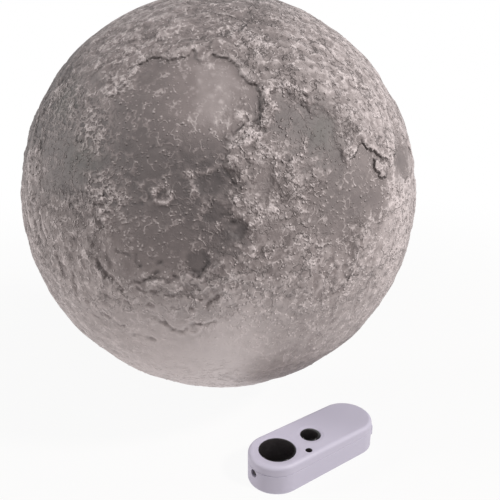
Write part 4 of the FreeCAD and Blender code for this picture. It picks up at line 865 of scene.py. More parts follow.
# pimple tops and raised lines are painted paler: a painted highlight with some rubbed paint
PIMPLE_HIGHLIGHT, LINE_TALL, LINE_HIGHLIGHT = 0.6, 0.6, 0.75
EASED = "SMOOTHSTEP"
busier = add(painted, "Math", {0: reads["busy"], 1: 0.5, 2: 0.9}, operation="MULTIPLY_ADD")
for cell_mm, tall, widest in PIMPLE_SIZES:
    cells = add(painted, "TexVoronoi", {"Vector": (coords, "Object"), "Scale": 1 / (cell_mm * MM)})
    chance = add(painted, "SeparateColor", {0: (cells, "Color")})
    reach = add(painted, "MapRange", {"Value": (chance, 0), "From Min": 0.1, "To Min": 0.02,
                                      "To Max": widest}, interpolation_type=EASED)
    knob = add(painted, "MapRange", {"Value": (cells, "Distance"), "From Min": (reach, 0),
                                     "From Max": 0.0}, interpolation_type=EASED)
    pimple = add(painted, "Math", {0: (knob, 0), 1: (busier, 0)}, operation="MULTIPLY")
    lay_on((pimple, 0), tall, PIMPLE_HIGHLIGHT)

broken = add(painted, "MapRange", {"Value": noises["blotch"], "From Min": 0.44, "From Max": 0.56},
             interpolation_type=EASED)
often = add(painted, "Math", {0: (broken, 0), 1: 0.45}, operation="MULTIPLY")
for name, half_width, where in (("wrinkle", 0.05, (often, 0)), ("curl", 0.12, reads["busy"])):
    centred = add(painted, "Math", {0: noises[name], 1: 0.5}, operation="SUBTRACT")
    off_line = add(painted, "Math", {0: (centred, 0)}, operation="ABSOLUTE")
    line = add(painted, "MapRange", {"Value": (off_line, 0), "From Min": half_width,
                                     "From Max": 0.0}, interpolation_type=EASED)
    fold = add(painted, "Math", {0: (line, 0), 1: where}, operation="MULTIPLY")
    lay_on((fold, 0), LINE_TALL, LINE_HIGHLIGHT)
print("patterns of pimples:", len(PIMPLE_SIZES), "and of lines: 2")

# %% Flakes in steps and crests
FLAKE_LEVELS, FLAKE_TALL, BRINK_HIGHLIGHT, CREST_MM, CREST_TALL = 8.0, 0.85, 0.10, 8.0, 0.4
on_land = add(painted, "MapRange", {"Value": reads["sea"], "To Min": 1.0, "To Max": 0.16},
              interpolation_type=EASED)
levels = add(painted, "Math", {0: noises["flake"], 1: FLAKE_LEVELS}, operation="MULTIPLY")
whole = add(painted, "Math", {0: (levels, 0)}, operation="FLOOR")
rest = add(painted, "Math", {0: (levels, 0)}, operation="FRACT")
flank = add(painted, "MapRange", {"Value": (rest, 0), "From Max": 0.34}, interpolation_type=EASED)
steps = add(painted, "Math", {0: (whole, 0), 1: (flank, 0)}, operation="ADD")
lay_steps = add(painted, "Math", {0: (steps, 0), 1: (on_land, 0)}, operation="MULTIPLY")
lay_on((lay_steps, 0), FLAKE_TALL, 0.0)
# the brink of each step is painted paler, as a painted highlight
rise = add(painted, "MapRange", {"Value": (rest, 0), "From Min": 0.2, "From Max": 0.34},
           interpolation_type=EASED)
fall = add(painted, "MapRange", {"Value": (rest, 0), "From Min": 0.62, "From Max": 0.34},
           interpolation_type=EASED)
brink = add(painted, "Math", {0: (rise, 0), 1: (fall, 0)}, operation="MULTIPLY")
crater_wear_and_brink_highlight = add(painted, "Math", {0: (brink, 0), 1: (on_land, 0)}, operation="MULTIPLY")
lay_on((crater_wear_and_brink_highlight, 0), 0.0, BRINK_HIGHLIGHT)
crest_noise = add(painted, "TexNoise", {"Vector": (coords, "Object"), "Scale": 1 / (CREST_MM * MM),
                                        "Detail": 4.0, "Roughness": 0.5},
                  noise_type="RIDGED_MULTIFRACTAL", normalize=False)
crested = add(painted, "Math", {0: (crest_noise, 0), 1: (on_land, 0)}, operation="MULTIPLY")
lay_on((crested, 0), CREST_TALL, 0.0)
print("flakes of", NOISES["flake"][0] / FLAKE_LEVELS, "mm a step or so")

# %% The greys and the surface
BLOTCH_SHIFT, CREST_HIGHLIGHT_AND_SHADE, MOSS_SHARE = 0.04, 0.24, 0.34
unsmooth = add(painted, "Math", {0: 1.0, 1: reads["smooth"]}, operation="SUBTRACT")
relief = add(painted, "Math", {0: relief, 1: (unsmooth, 0)}, operation="MULTIPLY")
highlights_and_pale_spray = add(painted, "Math", {0: highlights_and_pale_spray, 1: (unsmooth, 0)}, operation="MULTIPLY")
uneven = add(painted, "MapRange", {"Value": noises["blotch"], "From Min": 0.3, "From Max": 0.7,
                                   "To Min": -BLOTCH_SHIFT, "To Max": BLOTCH_SHIFT},
             interpolation_type=EASED)
sprayed = add(painted, "Math", {0: reads["tone"], 1: (uneven, 0)}, operation="ADD")
# the painted highlights of the patterns, then the crest attribute: crests paler as a painted
# highlight with some rubbed paint, grooves darker as painted shade
tone_with_highlights = add(painted, "Math", {0: (sprayed, 0), 1: (highlights_and_pale_spray, 0)}, operation="ADD")
greys_with_painted_light = add(painted, "Math", {0: reads["crest"], 1: CREST_HIGHLIGHT_AND_SHADE, 2: (tone_with_highlights, 0)},
             operation="MULTIPLY_ADD", use_clamp=True)
greys = add(painted, "ValToRGB", {"Fac": (greys_with_painted_light, 0)})
greys.color_ramp.elements[0].color = linear("#464142")
greys.color_ramp.elements[1].color = linear("#c6bebf")
greys.color_ramp.elements.new(0.5).color = linear("#7e7676")
moss_share = add(painted, "Math", {0: reads["moss"], 1: MOSS_SHARE}, operation="MULTIPLY")
mossy = add(painted, "Mix", {"Factor": (moss_share, 0)}, data_type="RGBA")
mossy.inputs["B"].default_value = linear("#40453f")
painted.node_tree.links.new(greys.outputs["Color"], mossy.inputs["A"])
bumped = add(painted, "Bump", {"Height": (relief, 0), "Strength": 1.0, "Distance": MM})
surface = add(painted, "BsdfPrincipled", {"Base Color": (mossy, "Result"), "Roughness": 0.62,
                                          "IOR": 1.49, "Normal": (bumped, 0)})
add(painted, "OutputMaterial", {"Surface": (surface, 0)})
print("nodes in the paint:", len(painted.node_tree.nodes))

# %% The dome takes the CAD solid's place
moon_mesh.materials.append(painted)
dome = bpy.data.objects.new("moon_dome_shell", moon_mesh)
bpy.context.scene.collection.objects.link(dome)
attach(dome, "root")
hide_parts("moon_dome")
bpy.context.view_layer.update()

# %% [markdown]
# ## New pieces: how they are made and shown
# The small pieces are drawn in millimetres and finished in one way: their faces are smooth, their
# real corners stay sharp, and they ride on a body of the frame. Turned pieces such as buttons,
# screws and cells come from half a profile spun round an axis, as on a lathe.

# %% Helpers for new pieces
SHARP = math.radians(38)
REMOTE_PLACE = (47.6, -91.5, -152.0)
REMOTE_TURN = math.radians(29)
LAY_REMOTE = Matrix.Translation(REMOTE_PLACE) @ Matrix.Rotation(REMOTE_TURN, 4, "Z")


def to_mesh(bm, name):
    bmesh.ops.recalc_face_normals(bm, faces=bm.faces)
    mesh = bpy.data.meshes.new(name)
    bm.to_mesh(mesh)
    bm.free()
    return mesh


def show(bm, name, body, slot, material, *nodes, lay=Matrix.Identity(4), even=False):
    """Turn a bmesh in millimetres into a shown piece that stands for CAD nodes."""
    bmesh.ops.recalc_face_normals(bm, faces=bm.faces)
    bmesh.ops.transform(bm, matrix=Matrix.Scale(MM, 4) @ lay, verts=bm.verts)
    for face in bm.faces:
        face.smooth = True
    for edge in bm.edges:
        edge.smooth = not (len(edge.link_faces) == 2 and edge.calc_face_angle(0) > SHARP)
    mesh = bpy.data.meshes.new(name)
    bm.to_mesh(mesh)
    bm.free()
    mesh.materials.append(material)
    piece = bpy.data.objects.new(name, mesh)
    bpy.context.scene.collection.objects.link(piece)
    if even:
        normals = piece.modifiers.new("even_normals", "WEIGHTED_NORMAL")
        normals.keep_sharp = True
        normals.weight = 60
    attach(piece, body)
    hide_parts(*nodes)
    print(name, sum(len(p.vertices) - 2 for p in mesh.polygons), "triangles")
    return piece


print("sharp above", round(math.degrees(SHARP)), "degrees")

# %% Lathe pieces and blocks
LATHE_STEPS = 64


def turned(profile, steps=LATHE_STEPS):
    """A lathe piece: half a profile of (radius, height) pairs spun round the Z axis."""
    bm = bmesh.new()
    points = [bm.verts.new((radius, 0, level)) for radius, level in profile]
    edges = [bm.edges.new(pair) for pair in zip(points, points[1:])]
    bmesh.ops.spin(bm, geom=points + edges, axis=(0, 0, 1), cent=(0, 0, 0), steps=steps,
                   angle=math.tau, use_merge=True)
    bmesh.ops.remove_doubles(bm, verts=bm.verts, dist=1e-4)
    bmesh.ops.recalc_face_normals(bm, faces=bm.faces)
    return bm


def block(low, high):
    """A box between two corners."""
    bm = bmesh.new()
    low, high = Vector(low), Vector(high)
    middle = Matrix.Translation((low + high) / 2)
    bmesh.ops.create_cube(bm, size=1.0, matrix=middle @ Matrix.Diagonal((*(high - low), 1)))
    return bm


def moved(bm, matrix):
    bmesh.ops.transform(bm, matrix=matrix, verts=bm.verts)
    return bm


def shift(x, y, z):
    return Matrix.Translation((x, y, z))


print("a full turn has", LATHE_STEPS, "steps unless a piece asks for others")

# %% Joining and cutting
SOLVER = "EXACT"    # the one that holds where faces lie on one another


def carve(blank, joins=(), cuts=(), keep=()):
    """Join pieces to a blank, cut others away and keep what lies in the last ones."""
    base = bpy.data.objects.new("carved", to_mesh(blank, "carved"))
    bpy.context.scene.collection.objects.link(base)
    helpers = []
    for way, tools in (("UNION", joins), ("DIFFERENCE", cuts), ("INTERSECT", keep)):
        for tool in tools:
            helper = bpy.data.objects.new("tool", to_mesh(tool, "tool"))
            bpy.context.scene.collection.objects.link(helper)
            step = base.modifiers.new(way, "BOOLEAN")
            step.operation = way
            step.solver = SOLVER
            step.object = helper
            helpers.append(helper)
    bpy.context.view_layer.update()
    seen_base = base.evaluated_get(bpy.context.evaluated_depsgraph_get())
    mesh = bpy.data.meshes.new_from_object(seen_base)
    bm = bmesh.new()
    bm.from_mesh(mesh)
    bpy.data.meshes.remove(mesh)
    for helper in helpers + [base]:
        old = helper.data
        bpy.data.objects.remove(helper)
        bpy.data.meshes.remove(old)
    return bm


print("solids are joined and cut by the", SOLVER, "solver")

# %% [markdown]
# ## The remote's finishes
# The casing is ABS in a pale lavender grey, moulded against a lightly eroded steel, so it shows a
# soft broad sheen and no reflections. The buttons are the same plastic in black, from a polished
# cavity, and mirror the lamps in small bright spots. The little window is smoked, nearly black.

# %% Moulded plastics
CLOUD_MM = 14    # how widely the gloss of a moulding varies


def plastic(name, colour, roughness, grain_mm, depth_mm, uneven=0.05, shine=0.5):
    """A moulded plastic: a faintly uneven gloss, and a grain drawn coarse enough to show."""
    material = start_material(name)
    place = add(material, "TexCoord")
    grains = add(material, "TexNoise", {"Vector": (place, "Object"), "Scale": 1 / (grain_mm * MM),
                                        "Detail": 3.0, "Roughness": 0.55})
    clouds = add(material, "TexNoise", {"Vector": (place, "Object"), "Scale": 1 / (CLOUD_MM * MM),
                                        "Detail": 2.0})
    gloss = add(material, "MapRange", {"Value": (clouds, 0), "From Min": 0.3, "From Max": 0.7,
                                       "To Min": roughness - uneven, "To Max": roughness + uneven})
    relief = add(material, "Bump", {"Height": (grains, 0), "Strength": 0.5,
                                    "Distance": depth_mm * MM})
    skin = add(material, "BsdfPrincipled", {"Base Color": linear(colour), "Roughness": (gloss, 0),
                                            "IOR": 1.54, "Specular IOR Level": shine,
                                            "Normal": (relief, 0)})
    add(material, "OutputMaterial", {"Surface": (skin, 0)})
    return material


# lavender grey with a satin sheen: the remote's casing
casing = plastic("satin_moulded_abs_lavender", "#bab8ca", 0.54, 0.35, 0.012)
# black and nearly wet-looking: the two buttons
gloss_black = plastic("polished_moulded_abs_black", "#020203", 0.12, 3.0, 0.002, 0.03, shine=0.24)
# smoked, so that the lamp under it shows only when lit
smoked = plastic("smoked_polycarbonate", "#080608", 0.18, 2.0, 0.004, 0.04, shine=0.2)
# off-white and matte, from a spark-eroded mould: the lamp's back
back_white = plastic("spark_eroded_abs_white", "#dedbd6", 0.55, 0.5, 0.03)
# bright white and dull, so that it throws the lamps' light forward: the baffle
dull_white = plastic("matte_polystyrene_white", "#ecebe8", 0.7, 0.8, 0.02)
# black and plain: the power switch
plain_black = plastic("moulded_polyamide_black", "#17171a", 0.45, 0.4, 0.02)
print("plastics:", [m.name for m in bpy.data.materials if "moulded" in m.name])

# %% [markdown]
# ## The remote's casing
# The casing is a long box with half-round ends in two halves: a lid with a well round each button,
# and a bottom shell whose tail is open underneath for the battery door. The outline is a circle
# whose two halves are pushed apart. Real mouldings have no knife edges, so the lid's top edge is
# rounded by about 2.5 mm, as in the photograph, and the foot by less.

# %% Outline, wells and holes
LENGTH, WIDTH, TALL, WALL = 91.8, 34.1, 18.7, 1.8
PARTING, PARTING_GAP = 12.2, 0.25
TONGUE, TONGUE_WALL, TONGUE_FIT = 1.2, 0.9, 0.1
OUTLINE_STEPS = 128
BIG, SMALL, INDICATOR = (-28.1, 0.0, 11.1), (-2.2, -0.7, 6.2), (-13.6, -12.1, 2.1)
CLEARANCE, WELL_MARGIN, WELL_DEPTH = 0.25, 2.6, 0.5
SCREW_SPOTS = ((-7.6, -13.0), (-7.6, 13.0))
EMITTER_LEVEL, EMITTER_RADIUS = 9.6, 2.5


def long_box(low, high, inset=0.0, top_round=0.0, foot_round=0.0, segments=6):
    """A box with half-round ends, its top or bottom edge rounded where asked."""
    bm = bmesh.new()
    radius = WIDTH / 2 - inset
    bmesh.ops.create_circle(bm, cap_ends=True, radius=radius, segments=OUTLINE_STEPS,
                            matrix=Matrix.Rotation(math.pi / OUTLINE_STEPS, 4, "Z"))
    for vert in bm.verts:
        vert.co.x += math.copysign((LENGTH - WIDTH) / 2, vert.co.x)
        vert.co.z = low
    grown = bmesh.ops.extrude_face_region(bm, geom=bm.faces[:])["geom"]
    for vert in (g for g in grown if isinstance(g, bmesh.types.BMVert)):
        vert.co.z = high
    for level, reach in ((high, top_round), (low, foot_round)):
        if reach:
            rim = [edge for edge in bm.edges if all(abs(v.co.z - level) < 1e-5 for v in edge.verts)]
            bmesh.ops.bevel(bm, geom=rim, offset=reach, offset_type="OFFSET", segments=segments,
                            profile=0.5, affect="EDGES", clamp_overlap=False, material=-1)
    bmesh.ops.recalc_face_normals(bm, faces=bm.faces)
    return bm


def well(x, y, radius):
    """The cutter for a shallow round well: steep at the button and soft at its outer edge."""
    inner, outer, bottom = radius + CLEARANCE, radius + WELL_MARGIN, TALL - WELL_DEPTH
    slope = [(inner + (outer - inner) * t, bottom + WELL_DEPTH * t ** 1.15)
             for t in np.linspace(0, 1, 7)]
    return moved(turned([(0, bottom), *slope, (outer, TALL + 1), (0, TALL + 1)], 96),
                 shift(x, y, 0))


def pin(x, y, low, high, radius, steps=48):
    """An upright round bar, to add or to cut."""
    half = [(0, low), (radius, low), (radius, high), (0, high)]
    return moved(turned(half, steps), shift(x, y, 0))


print("the casing is", LENGTH, "x", WIDTH, "x", TALL, "mm")

# %% The lid
TOP_ROUND, FOOT_ROUND, SEAM_ROUND = 2.5, 0.8, 0.22
BOSS_RADIUS, LID_BOSS_LOW, SHELL_BOSS_HIGH = 2.2, 12.4, 10.8
PILOT_RADIUS, PILOT_LOW, PILOT_HIGH = 1.16, 11.0, 15.9
SHANK_RADIUS, HEAD_RADIUS, HEAD_SEAT = 1.35, 2.25, 1.8
INDICATOR_FIT = 0.05
lid_low = PARTING + PARTING_GAP
below, above = PARTING - 1, TALL + 1    # where cuts start and end, clear of the lid
lid = carve(
    carve(long_box(lid_low, TALL, top_round=TOP_ROUND, foot_round=SEAM_ROUND, segments=10),
          cuts=[long_box(below, TALL - WALL, inset=WALL),
                long_box(below, lid_low + TONGUE, inset=TONGUE_WALL)]),
    joins=[pin(x, y, LID_BOSS_LOW, TALL - WALL / 2, BOSS_RADIUS, 24) for x, y in SCREW_SPOTS],
    cuts=[well(*BIG), well(*SMALL),
          pin(BIG[0], BIG[1], below, above, BIG[2] + CLEARANCE, 96),
          pin(SMALL[0], SMALL[1], below, above, SMALL[2] + CLEARANCE, 96),
          pin(INDICATOR[0], INDICATOR[1], below, above, INDICATOR[2] + INDICATOR_FIT)]
    + [pin(x, y, PILOT_LOW, PILOT_HIGH, PILOT_RADIUS, 24) for x, y in SCREW_SPOTS])
show(lid, "remote_lid_moulding", "root", "remote_casing", casing, "remote_top_cover",
     lay=LAY_REMOTE, even=True)

# %% The bottom shell and the sliding battery door
DOOR_START, DOOR_HALF, DOOR_ROOM = 3.0, 12.0, 0.35
LIP_PROUD, LIP_HALF, LIP_TALL = 1.0, 11.9, 6.0
GRIP_LINES, GRIP_PITCH, GRIP_DEPTH = 5, 2.4, 0.4
GRIP_START, GRIP_WIDE, GRIP_HALF = 14, 1, 7
DEEP = -1    # cuts from below start here, clear of the foot
shell = carve(
    carve(long_box(0, PARTING, top_round=SEAM_ROUND, foot_round=FOOT_ROUND),
          joins=[long_box(WALL, PARTING + TONGUE, inset=TONGUE_WALL + TONGUE_FIT)]),
    cuts=[long_box(WALL, PARTING + 5, inset=WALL)])
shell = carve(
    shell, joins=[pin(x, y, WALL / 2, SHELL_BOSS_HIGH, BOSS_RADIUS, 24) for x, y in SCREW_SPOTS],
    cuts=[block((DOOR_START, -DOOR_HALF - DOOR_ROOM, DEEP),
                (LENGTH, DOOR_HALF + DOOR_ROOM, PARTING + 2)),
          moved(pin(0, 0, -3, 3, EMITTER_RADIUS), shift(-LENGTH / 2, 0, EMITTER_LEVEL)
                @ Matrix.Rotation(math.pi / 2, 4, "Y"))]
    + [pin(x, y, DEEP, 11.5, SHANK_RADIUS, 24) for x, y in SCREW_SPOTS]
    + [pin(x, y, DEEP, HEAD_SEAT, HEAD_RADIUS, 32) for x, y in SCREW_SPOTS])
show(shell, "remote_bottom_moulding", "root", "remote_casing", casing, "remote_bottom_shell",
     lay=LAY_REMOTE, even=True)

ledge = carve(long_box(PARTING - LIP_TALL, PARTING, inset=-LIP_PROUD, top_round=0.3, foot_round=0.3,
                       segments=3),
              cuts=[long_box(DEEP, PARTING + 1, inset=WALL / 2)],
              keep=[block((LENGTH / 4, -LIP_HALF, 0), (LENGTH, LIP_HALF, TALL))])
grips = [block((start, -GRIP_HALF, DEEP), (start + GRIP_WIDE, GRIP_HALF, GRIP_DEPTH))
         for start in (GRIP_START + k * GRIP_PITCH for k in range(GRIP_LINES))]
door = carve(carve(long_box(0, PARTING, top_round=SEAM_ROUND, foot_round=FOOT_ROUND),
                   cuts=[long_box(WALL, PARTING + 5, inset=WALL)] + grips,
                   keep=[block((DOOR_START + DOOR_ROOM, -DOOR_HALF, DEEP),
                               (LENGTH, DOOR_HALF, TALL))]),
             joins=[ledge])
show(door, "remote_door_moulding", "remote_battery_door", "remote_casing", casing,
     "remote_battery_door", lay=LAY_REMOTE, even=True)

# %% [markdown]
# ## The remote's buttons, window and infrared lamp
# A button is a turned piece: a flange that the lid holds down, a straight side and a crown like the
# cap of a mushroom. A short bar under it presses its switch. The window is a small rod with a
# softened edge, and the infrared lamp is a bullet that points out of the hole in the nose.

# %% Buttons
FLANGE, FLANGE_WALL, FLANGE_GAP = 1.2, 1.4, 0.3
RISE, CROWN, STEM = 0.9, 1.3, 2.4
KEY_X = -7.6
CROWN_STEPS = 22
flange_low = TALL - WALL - FLANGE_GAP - FLANGE_WALL


def button(x, y, radius, stem_from, stem_to):
    shoulder = TALL + RISE - CROWN
    crown = [(radius * math.cos(t), shoulder + CROWN * math.sin(t))
             for t in np.linspace(0, math.pi / 2, CROWN_STEPS)]
    crown[-1] = (0, TALL + RISE)
    flange = radius + FLANGE
    body = turned([(0, flange_low), (flange - 0.2, flange_low), (flange, flange_low + 0.2),
                   (flange, flange_low + FLANGE_WALL), (radius, flange_low + FLANGE_WALL),
                   *crown], 128)
    bar = block((stem_from, -STEM / 2, flange_low - 0.3), (stem_to, STEM / 2, flange_low + 0.7))
    return moved(carve(body, joins=[bar]), shift(x, y, 0))


for name, (x, y, radius), reach in (("remote_big_button", BIG, STEM / 2),
                                    ("remote_small_button", SMALL, SMALL[0] - KEY_X + STEM / 2)):
    show(button(x, y, radius, -reach, STEM / 2), name + "_cap", name, "button_plastic", gloss_black,
         name, lay=LAY_REMOTE)

window_low, window_high = 12.4, TALL - 0.1    # from its board to just under the lid's face
x, y, radius = INDICATOR
window = moved(turned([(0, window_low), (radius, window_low), (radius, window_high - 0.25),
                       (radius - 0.08, window_high - 0.08), (radius - 0.25, window_high),
                       (0, window_high)], 48), shift(x, y, 0))
show(window, "remote_indicator_window", "root", "indicator_lens", smoked, "remote_indicator",
     lay=LAY_REMOTE)

# %% The infrared lamp
DUST_MM = 0.9    # real dust is finer, and drawn so fine it wouldn't show


def clear_resin(name, colour, roughness=0.08, milky=0.25):
    """A dyed cast resin that lets some light through; bubbles and dust cloud it a little."""
    material = start_material(name)
    place = add(material, "TexCoord")
    dust = add(material, "TexNoise", {"Vector": (place, "Object"), "Scale": 1 / (DUST_MM * MM)})
    cloud = add(material, "MapRange", {"Value": (dust, 0), "From Min": 0.35, "From Max": 0.65,
                                       "To Min": roughness, "To Max": roughness + milky})
    skin = add(material, "BsdfPrincipled", {"Base Color": linear(colour), "Roughness": (cloud, 0),
                                            "IOR": 1.54, "Transmission Weight": 0.35})
    add(material, "OutputMaterial", {"Surface": (skin, 0)})
    return material


# epoxy dyed so dark that it passes only infrared: nearly black, with a wine-red glow at its edge
emitter_resin = clear_resin("cast_epoxy_infrared_tint", "#2e1d23")
EMITTER_BODY, EMITTER_LONG, EMITTER_INSET = 2.4, 5.0, 0.8
bullet = [(EMITTER_BODY * math.sin(t), EMITTER_BODY * (1 - math.cos(t)))
          for t in np.linspace(0, math.pi / 2, 12)]
bullet[0] = (0, 0)
emitter = moved(turned([*bullet, (EMITTER_BODY, EMITTER_LONG), (0, EMITTER_LONG)], 40),
                shift(-LENGTH / 2 + EMITTER_INSET, 0, EMITTER_LEVEL)
                @ Matrix.Rotation(math.pi / 2, 4, "Y"))
show(emitter, "remote_infrared_bullet", "root", "emitter_resin", emitter_resin, "remote_ir_led",
     lay=LAY_REMOTE)

# %% [markdown]
# ## Metals: plated screws and nickelled contacts
# Screws are cold-headed from wire, thread-rolled and plated with zinc, which looks bluish and a
# little cloudy. The contacts are punched from nickel-plated strip and keep the drawn lines of the
# strip. Both are metals, so all their colour is in the reflection.

# %% Plated metals
def plated(name, colour, roughness, streak, across_mm):
    """A plated metal with a cloudy gloss; its streaks are stretched along one axis."""
    material = start_material(name)
    place = add(material, "TexCoord")
    stretch = add(material, "VectorMath", {0: (place, "Object"), 1: streak}, operation="MULTIPLY")
    lines = add(material, "TexNoise", {"Vector": (stretch, 0), "Scale": 1 / (across_mm * MM),
                                       "Detail": 3.0})
    gloss = add(material, "MapRange", {"Value": (lines, 0), "From Min": 0.3, "From Max": 0.7,
                                       "To Min": roughness - 0.08, "To Max": roughness + 0.08})
    skin = add(material, "BsdfPrincipled", {"Base Color": linear(colour), "Metallic": 1.0,
                                            "Roughness": (gloss, 0)})
    add(material, "OutputMaterial", {"Surface": (skin, 0)})
    return material


# bright zinc on steel: a cool, slightly cloudy mirror
zinc = plated("zinc_plated_cold_headed_steel", "#c6cad0", 0.34, (1.0, 1.0, 1.0), 0.8)
# nickel on drawn strip: warmer, and streaked along the strip
nickel = plated("nickel_plated_punched_strip", "#d2cdc2", 0.26, (1.0, 1.0, 0.1), 0.3)
print("metals:", zinc.name, nickel.name)

# %% Screws
THREAD_DEPTH, THREAD_PITCH, POINT = 0.28, 1.1, 1.2
RECESS_REACH, RECESS_WIDE, RECESS_DEEP = 0.62, 0.26, 0.55


def screw(head_radius, head_height, radius, length):
    """A pan-head screw with a cross recess; its head's underside is at nought and its point up."""
    dome_line = [(head_radius * math.cos(t) ** 0.6, -head_height * (0.35 + 0.65 * math.sin(t)))
                 for t in np.linspace(0, math.pi / 2, 9)]
    dome_line[-1] = (0, -head_height)
    thread = []
    level = 0.6
    while level < length - POINT:
        thread += [(radius - THREAD_DEPTH, level), (radius, level + THREAD_PITCH / 2)]
        level += THREAD_PITCH
    profile = (dome_line[::-1] + [(head_radius, 0), (radius - THREAD_DEPTH, 0)] + thread
               + [(radius - THREAD_DEPTH, length - POINT), (0.25, length), (0, length)])
    reach, wide = head_radius * RECESS_REACH, head_radius * RECESS_WIDE / 2
    low, high = -head_height - 1, -head_height * (1 - RECESS_DEEP)
    return carve(turned(profile, 32), cuts=[block((-reach, -wide, low), (reach, wide, high)),
                                            block((-wide, -reach, low), (wide, reach, high))])


def screws(name, node, kind, places, body="root", lay=Matrix.Identity(4)):
    """All the screws of one kind as one piece, each turned as the screwdriver left it."""
    master = to_mesh(screw(*kind), "master_screw")
    bm = bmesh.new()
    for k, place in enumerate(places):
        before = len(bm.verts)
        bm.from_mesh(master)
        bm.verts.ensure_lookup_table()
        twist = Matrix.Rotation(math.radians(37 * k + 12), 4, "Z")
        bmesh.ops.transform(bm, matrix=place @ twist, verts=bm.verts[before:])
    bpy.data.meshes.remove(master)
    show(bm, name, body, "screw_steel", zinc, node, lay=lay)


BIG_SCREW = (2.9, 1.9, 1.5, 9.0)    # head's radius and height, thread's radius and length
BOARD_SCREW = (2.9, 1.9, 1.5, 5.5)
REMOTE_SCREW = (2.1, 1.5, 1.1, 13.8)
DOME_RING, DOME_SEAT = 117, -5.5
BAFFLE_X, BAFFLE_Z, BAFFLE_SEAT = 78, 56, -24
BOARD_SPOTS, BOARD_SEAT = ((-36, 16), (36, 48)), -8.6
OUTWARD = Matrix.Rotation(math.pi / 2, 4, "X")
INWARD = Matrix.Rotation(-math.pi / 2, 4, "X")
screws("dome_pan_head_screws", "dome_screws", BIG_SCREW,
       [shift(DOME_RING * math.cos(a), DOME_SEAT, DOME_RING * math.sin(a)) @ OUTWARD
        for a in map(math.radians, (45, 135, 225, 315))])
screws("baffle_pan_head_screws", "baffle_screws", BIG_SCREW,
       [shift(x, BAFFLE_SEAT, z) @ INWARD for x in (-BAFFLE_X, BAFFLE_X)
        for z in (-BAFFLE_Z, BAFFLE_Z)])
screws("board_pan_head_screws", "board_screws", BOARD_SCREW,
       [shift(x, BOARD_SEAT, z) @ INWARD for x, z in BOARD_SPOTS])
screws("remote_pan_head_screws", "remote_screws", REMOTE_SCREW,
       [shift(x, y, HEAD_SEAT) for x, y in SCREW_SPOTS], lay=LAY_REMOTE)

# %% [markdown]
# ## The cells
# A dry cell is a steel can in a printed plastic sleeve that is shrunk over its edges, with a
# stepped cap at one end and a flat one at the other. The sleeves here are plain and carry no print
# but a copper-coloured band at the positive end, so that the two ends can be told apart.

# %% Cells
WRINKLE_MM = 3.0
# a printed PVC sleeve shrunk on a steel can: smooth, shiny and very slightly rippled
sleeve = start_material("shrunk_pvc_sleeve_on_steel_can")
bare_in = add(sleeve, "Attribute", attribute_name="bare")
band_in = add(sleeve, "Attribute", attribute_name="band")
sleeve_place = add(sleeve, "TexCoord")
wrap = add(sleeve, "TexNoise", {"Vector": (sleeve_place, "Object"),
                                "Scale": 1 / (WRINKLE_MM * MM)})
wrinkles = add(sleeve, "Bump", {"Height": (wrap, 0), "Strength": 0.3, "Distance": 0.03 * MM})
print_colour = add(sleeve, "Mix", {"Factor": (band_in, "Fac"), "A": linear("#20252b"),
                                   "B": linear("#b0693a")}, data_type="RGBA")
end_colour = add(sleeve, "Mix", {"Factor": (bare_in, "Fac"), "A": (print_colour, "Result"),
                                 "B": linear("#cfcfca")}, data_type="RGBA")
wrapped = add(sleeve, "BsdfPrincipled", {"Base Color": (end_colour, "Result"), "Roughness": 0.3,
                                         "Metallic": (bare_in, "Fac"), "Normal": (wrinkles, 0)})
add(sleeve, "OutputMaterial", {"Surface": (wrapped, 0)})
BAND_SHARE, SLEEVE_LAP = 0.24, 0.84


def cell(name, radius, length, pip_radius, pip_length, place, lay=Matrix.Identity(4)):
    """A dry cell that starts at the origin and points its positive end along the turned Z axis."""
    lap, band_low = radius * SLEEVE_LAP, length * (1 - BAND_SHARE)
    bm = turned([(0, 0.35), (radius * 0.45, 0.35), (radius * 0.5, 0.0), (lap, 0.0), (lap, 0.15),
                 (radius * 0.95, 0.15), (radius, 0.6), (radius, band_low - 0.1), (radius, band_low),
                 (radius, length - 0.8), (radius * 0.95, length - 0.2), (lap, length - 0.15),
                 (lap, length - 0.5), (pip_radius + 0.9, length - 0.5), (pip_radius + 0.3, length),
                 (pip_radius, length + 0.15), (pip_radius, length + pip_length - 0.3),
                 (pip_radius - 0.3, length + pip_length), (0, length + pip_length)], 48)
    mesh_lengths = [v.co.z for v in bm.verts]
    mesh_reaches = [math.hypot(v.co.x, v.co.y) for v in bm.verts]
    moved(bm, place)
    piece = show(bm, name + "_sleeved", "root", "cell_jacket", sleeve, name, lay=lay)
    bare = piece.data.attributes.new("bare", "FLOAT", "POINT")
    band = piece.data.attributes.new("band", "FLOAT", "POINT")
    bare.data.foreach_set("value", [float(r < lap + 0.01) for r in mesh_reaches])
    band.data.foreach_set("value", [float(z > band_low - 0.01) for z in mesh_lengths])


AA, AAA = (7.1, 49.2, 2.75, 1.1), (5.2, 43.4, 1.9, 0.9)    # radius and length, then the cap's
AA_PITCH, AA_DEPTH, AA_MIDDLE = 15, -10.2, -46
AAA_OFF, AAA_LEVEL, AAA_MIDDLE = 5.5, 7.3, 17.0
lie = {way: Matrix.Rotation(way * math.pi / 2, 4, "Y") for way in (-1, 1)}
for k, way in enumerate((-1, 1, -1, 1)):
    place = shift(-way * AA[1] / 2, AA_DEPTH, AA_MIDDLE + AA_PITCH * (k - 1.5))
    cell("aa_cell_%d" % (k + 1), *AA, place @ lie[way])
for k, way in enumerate((-1, 1)):
    place = shift(AAA_MIDDLE - way * AAA[1] / 2, way * AAA_OFF, AAA_LEVEL)
    cell("aaa_cell_%d" % (k + 1), *AAA, place @ lie[way], lay=LAY_REMOTE)

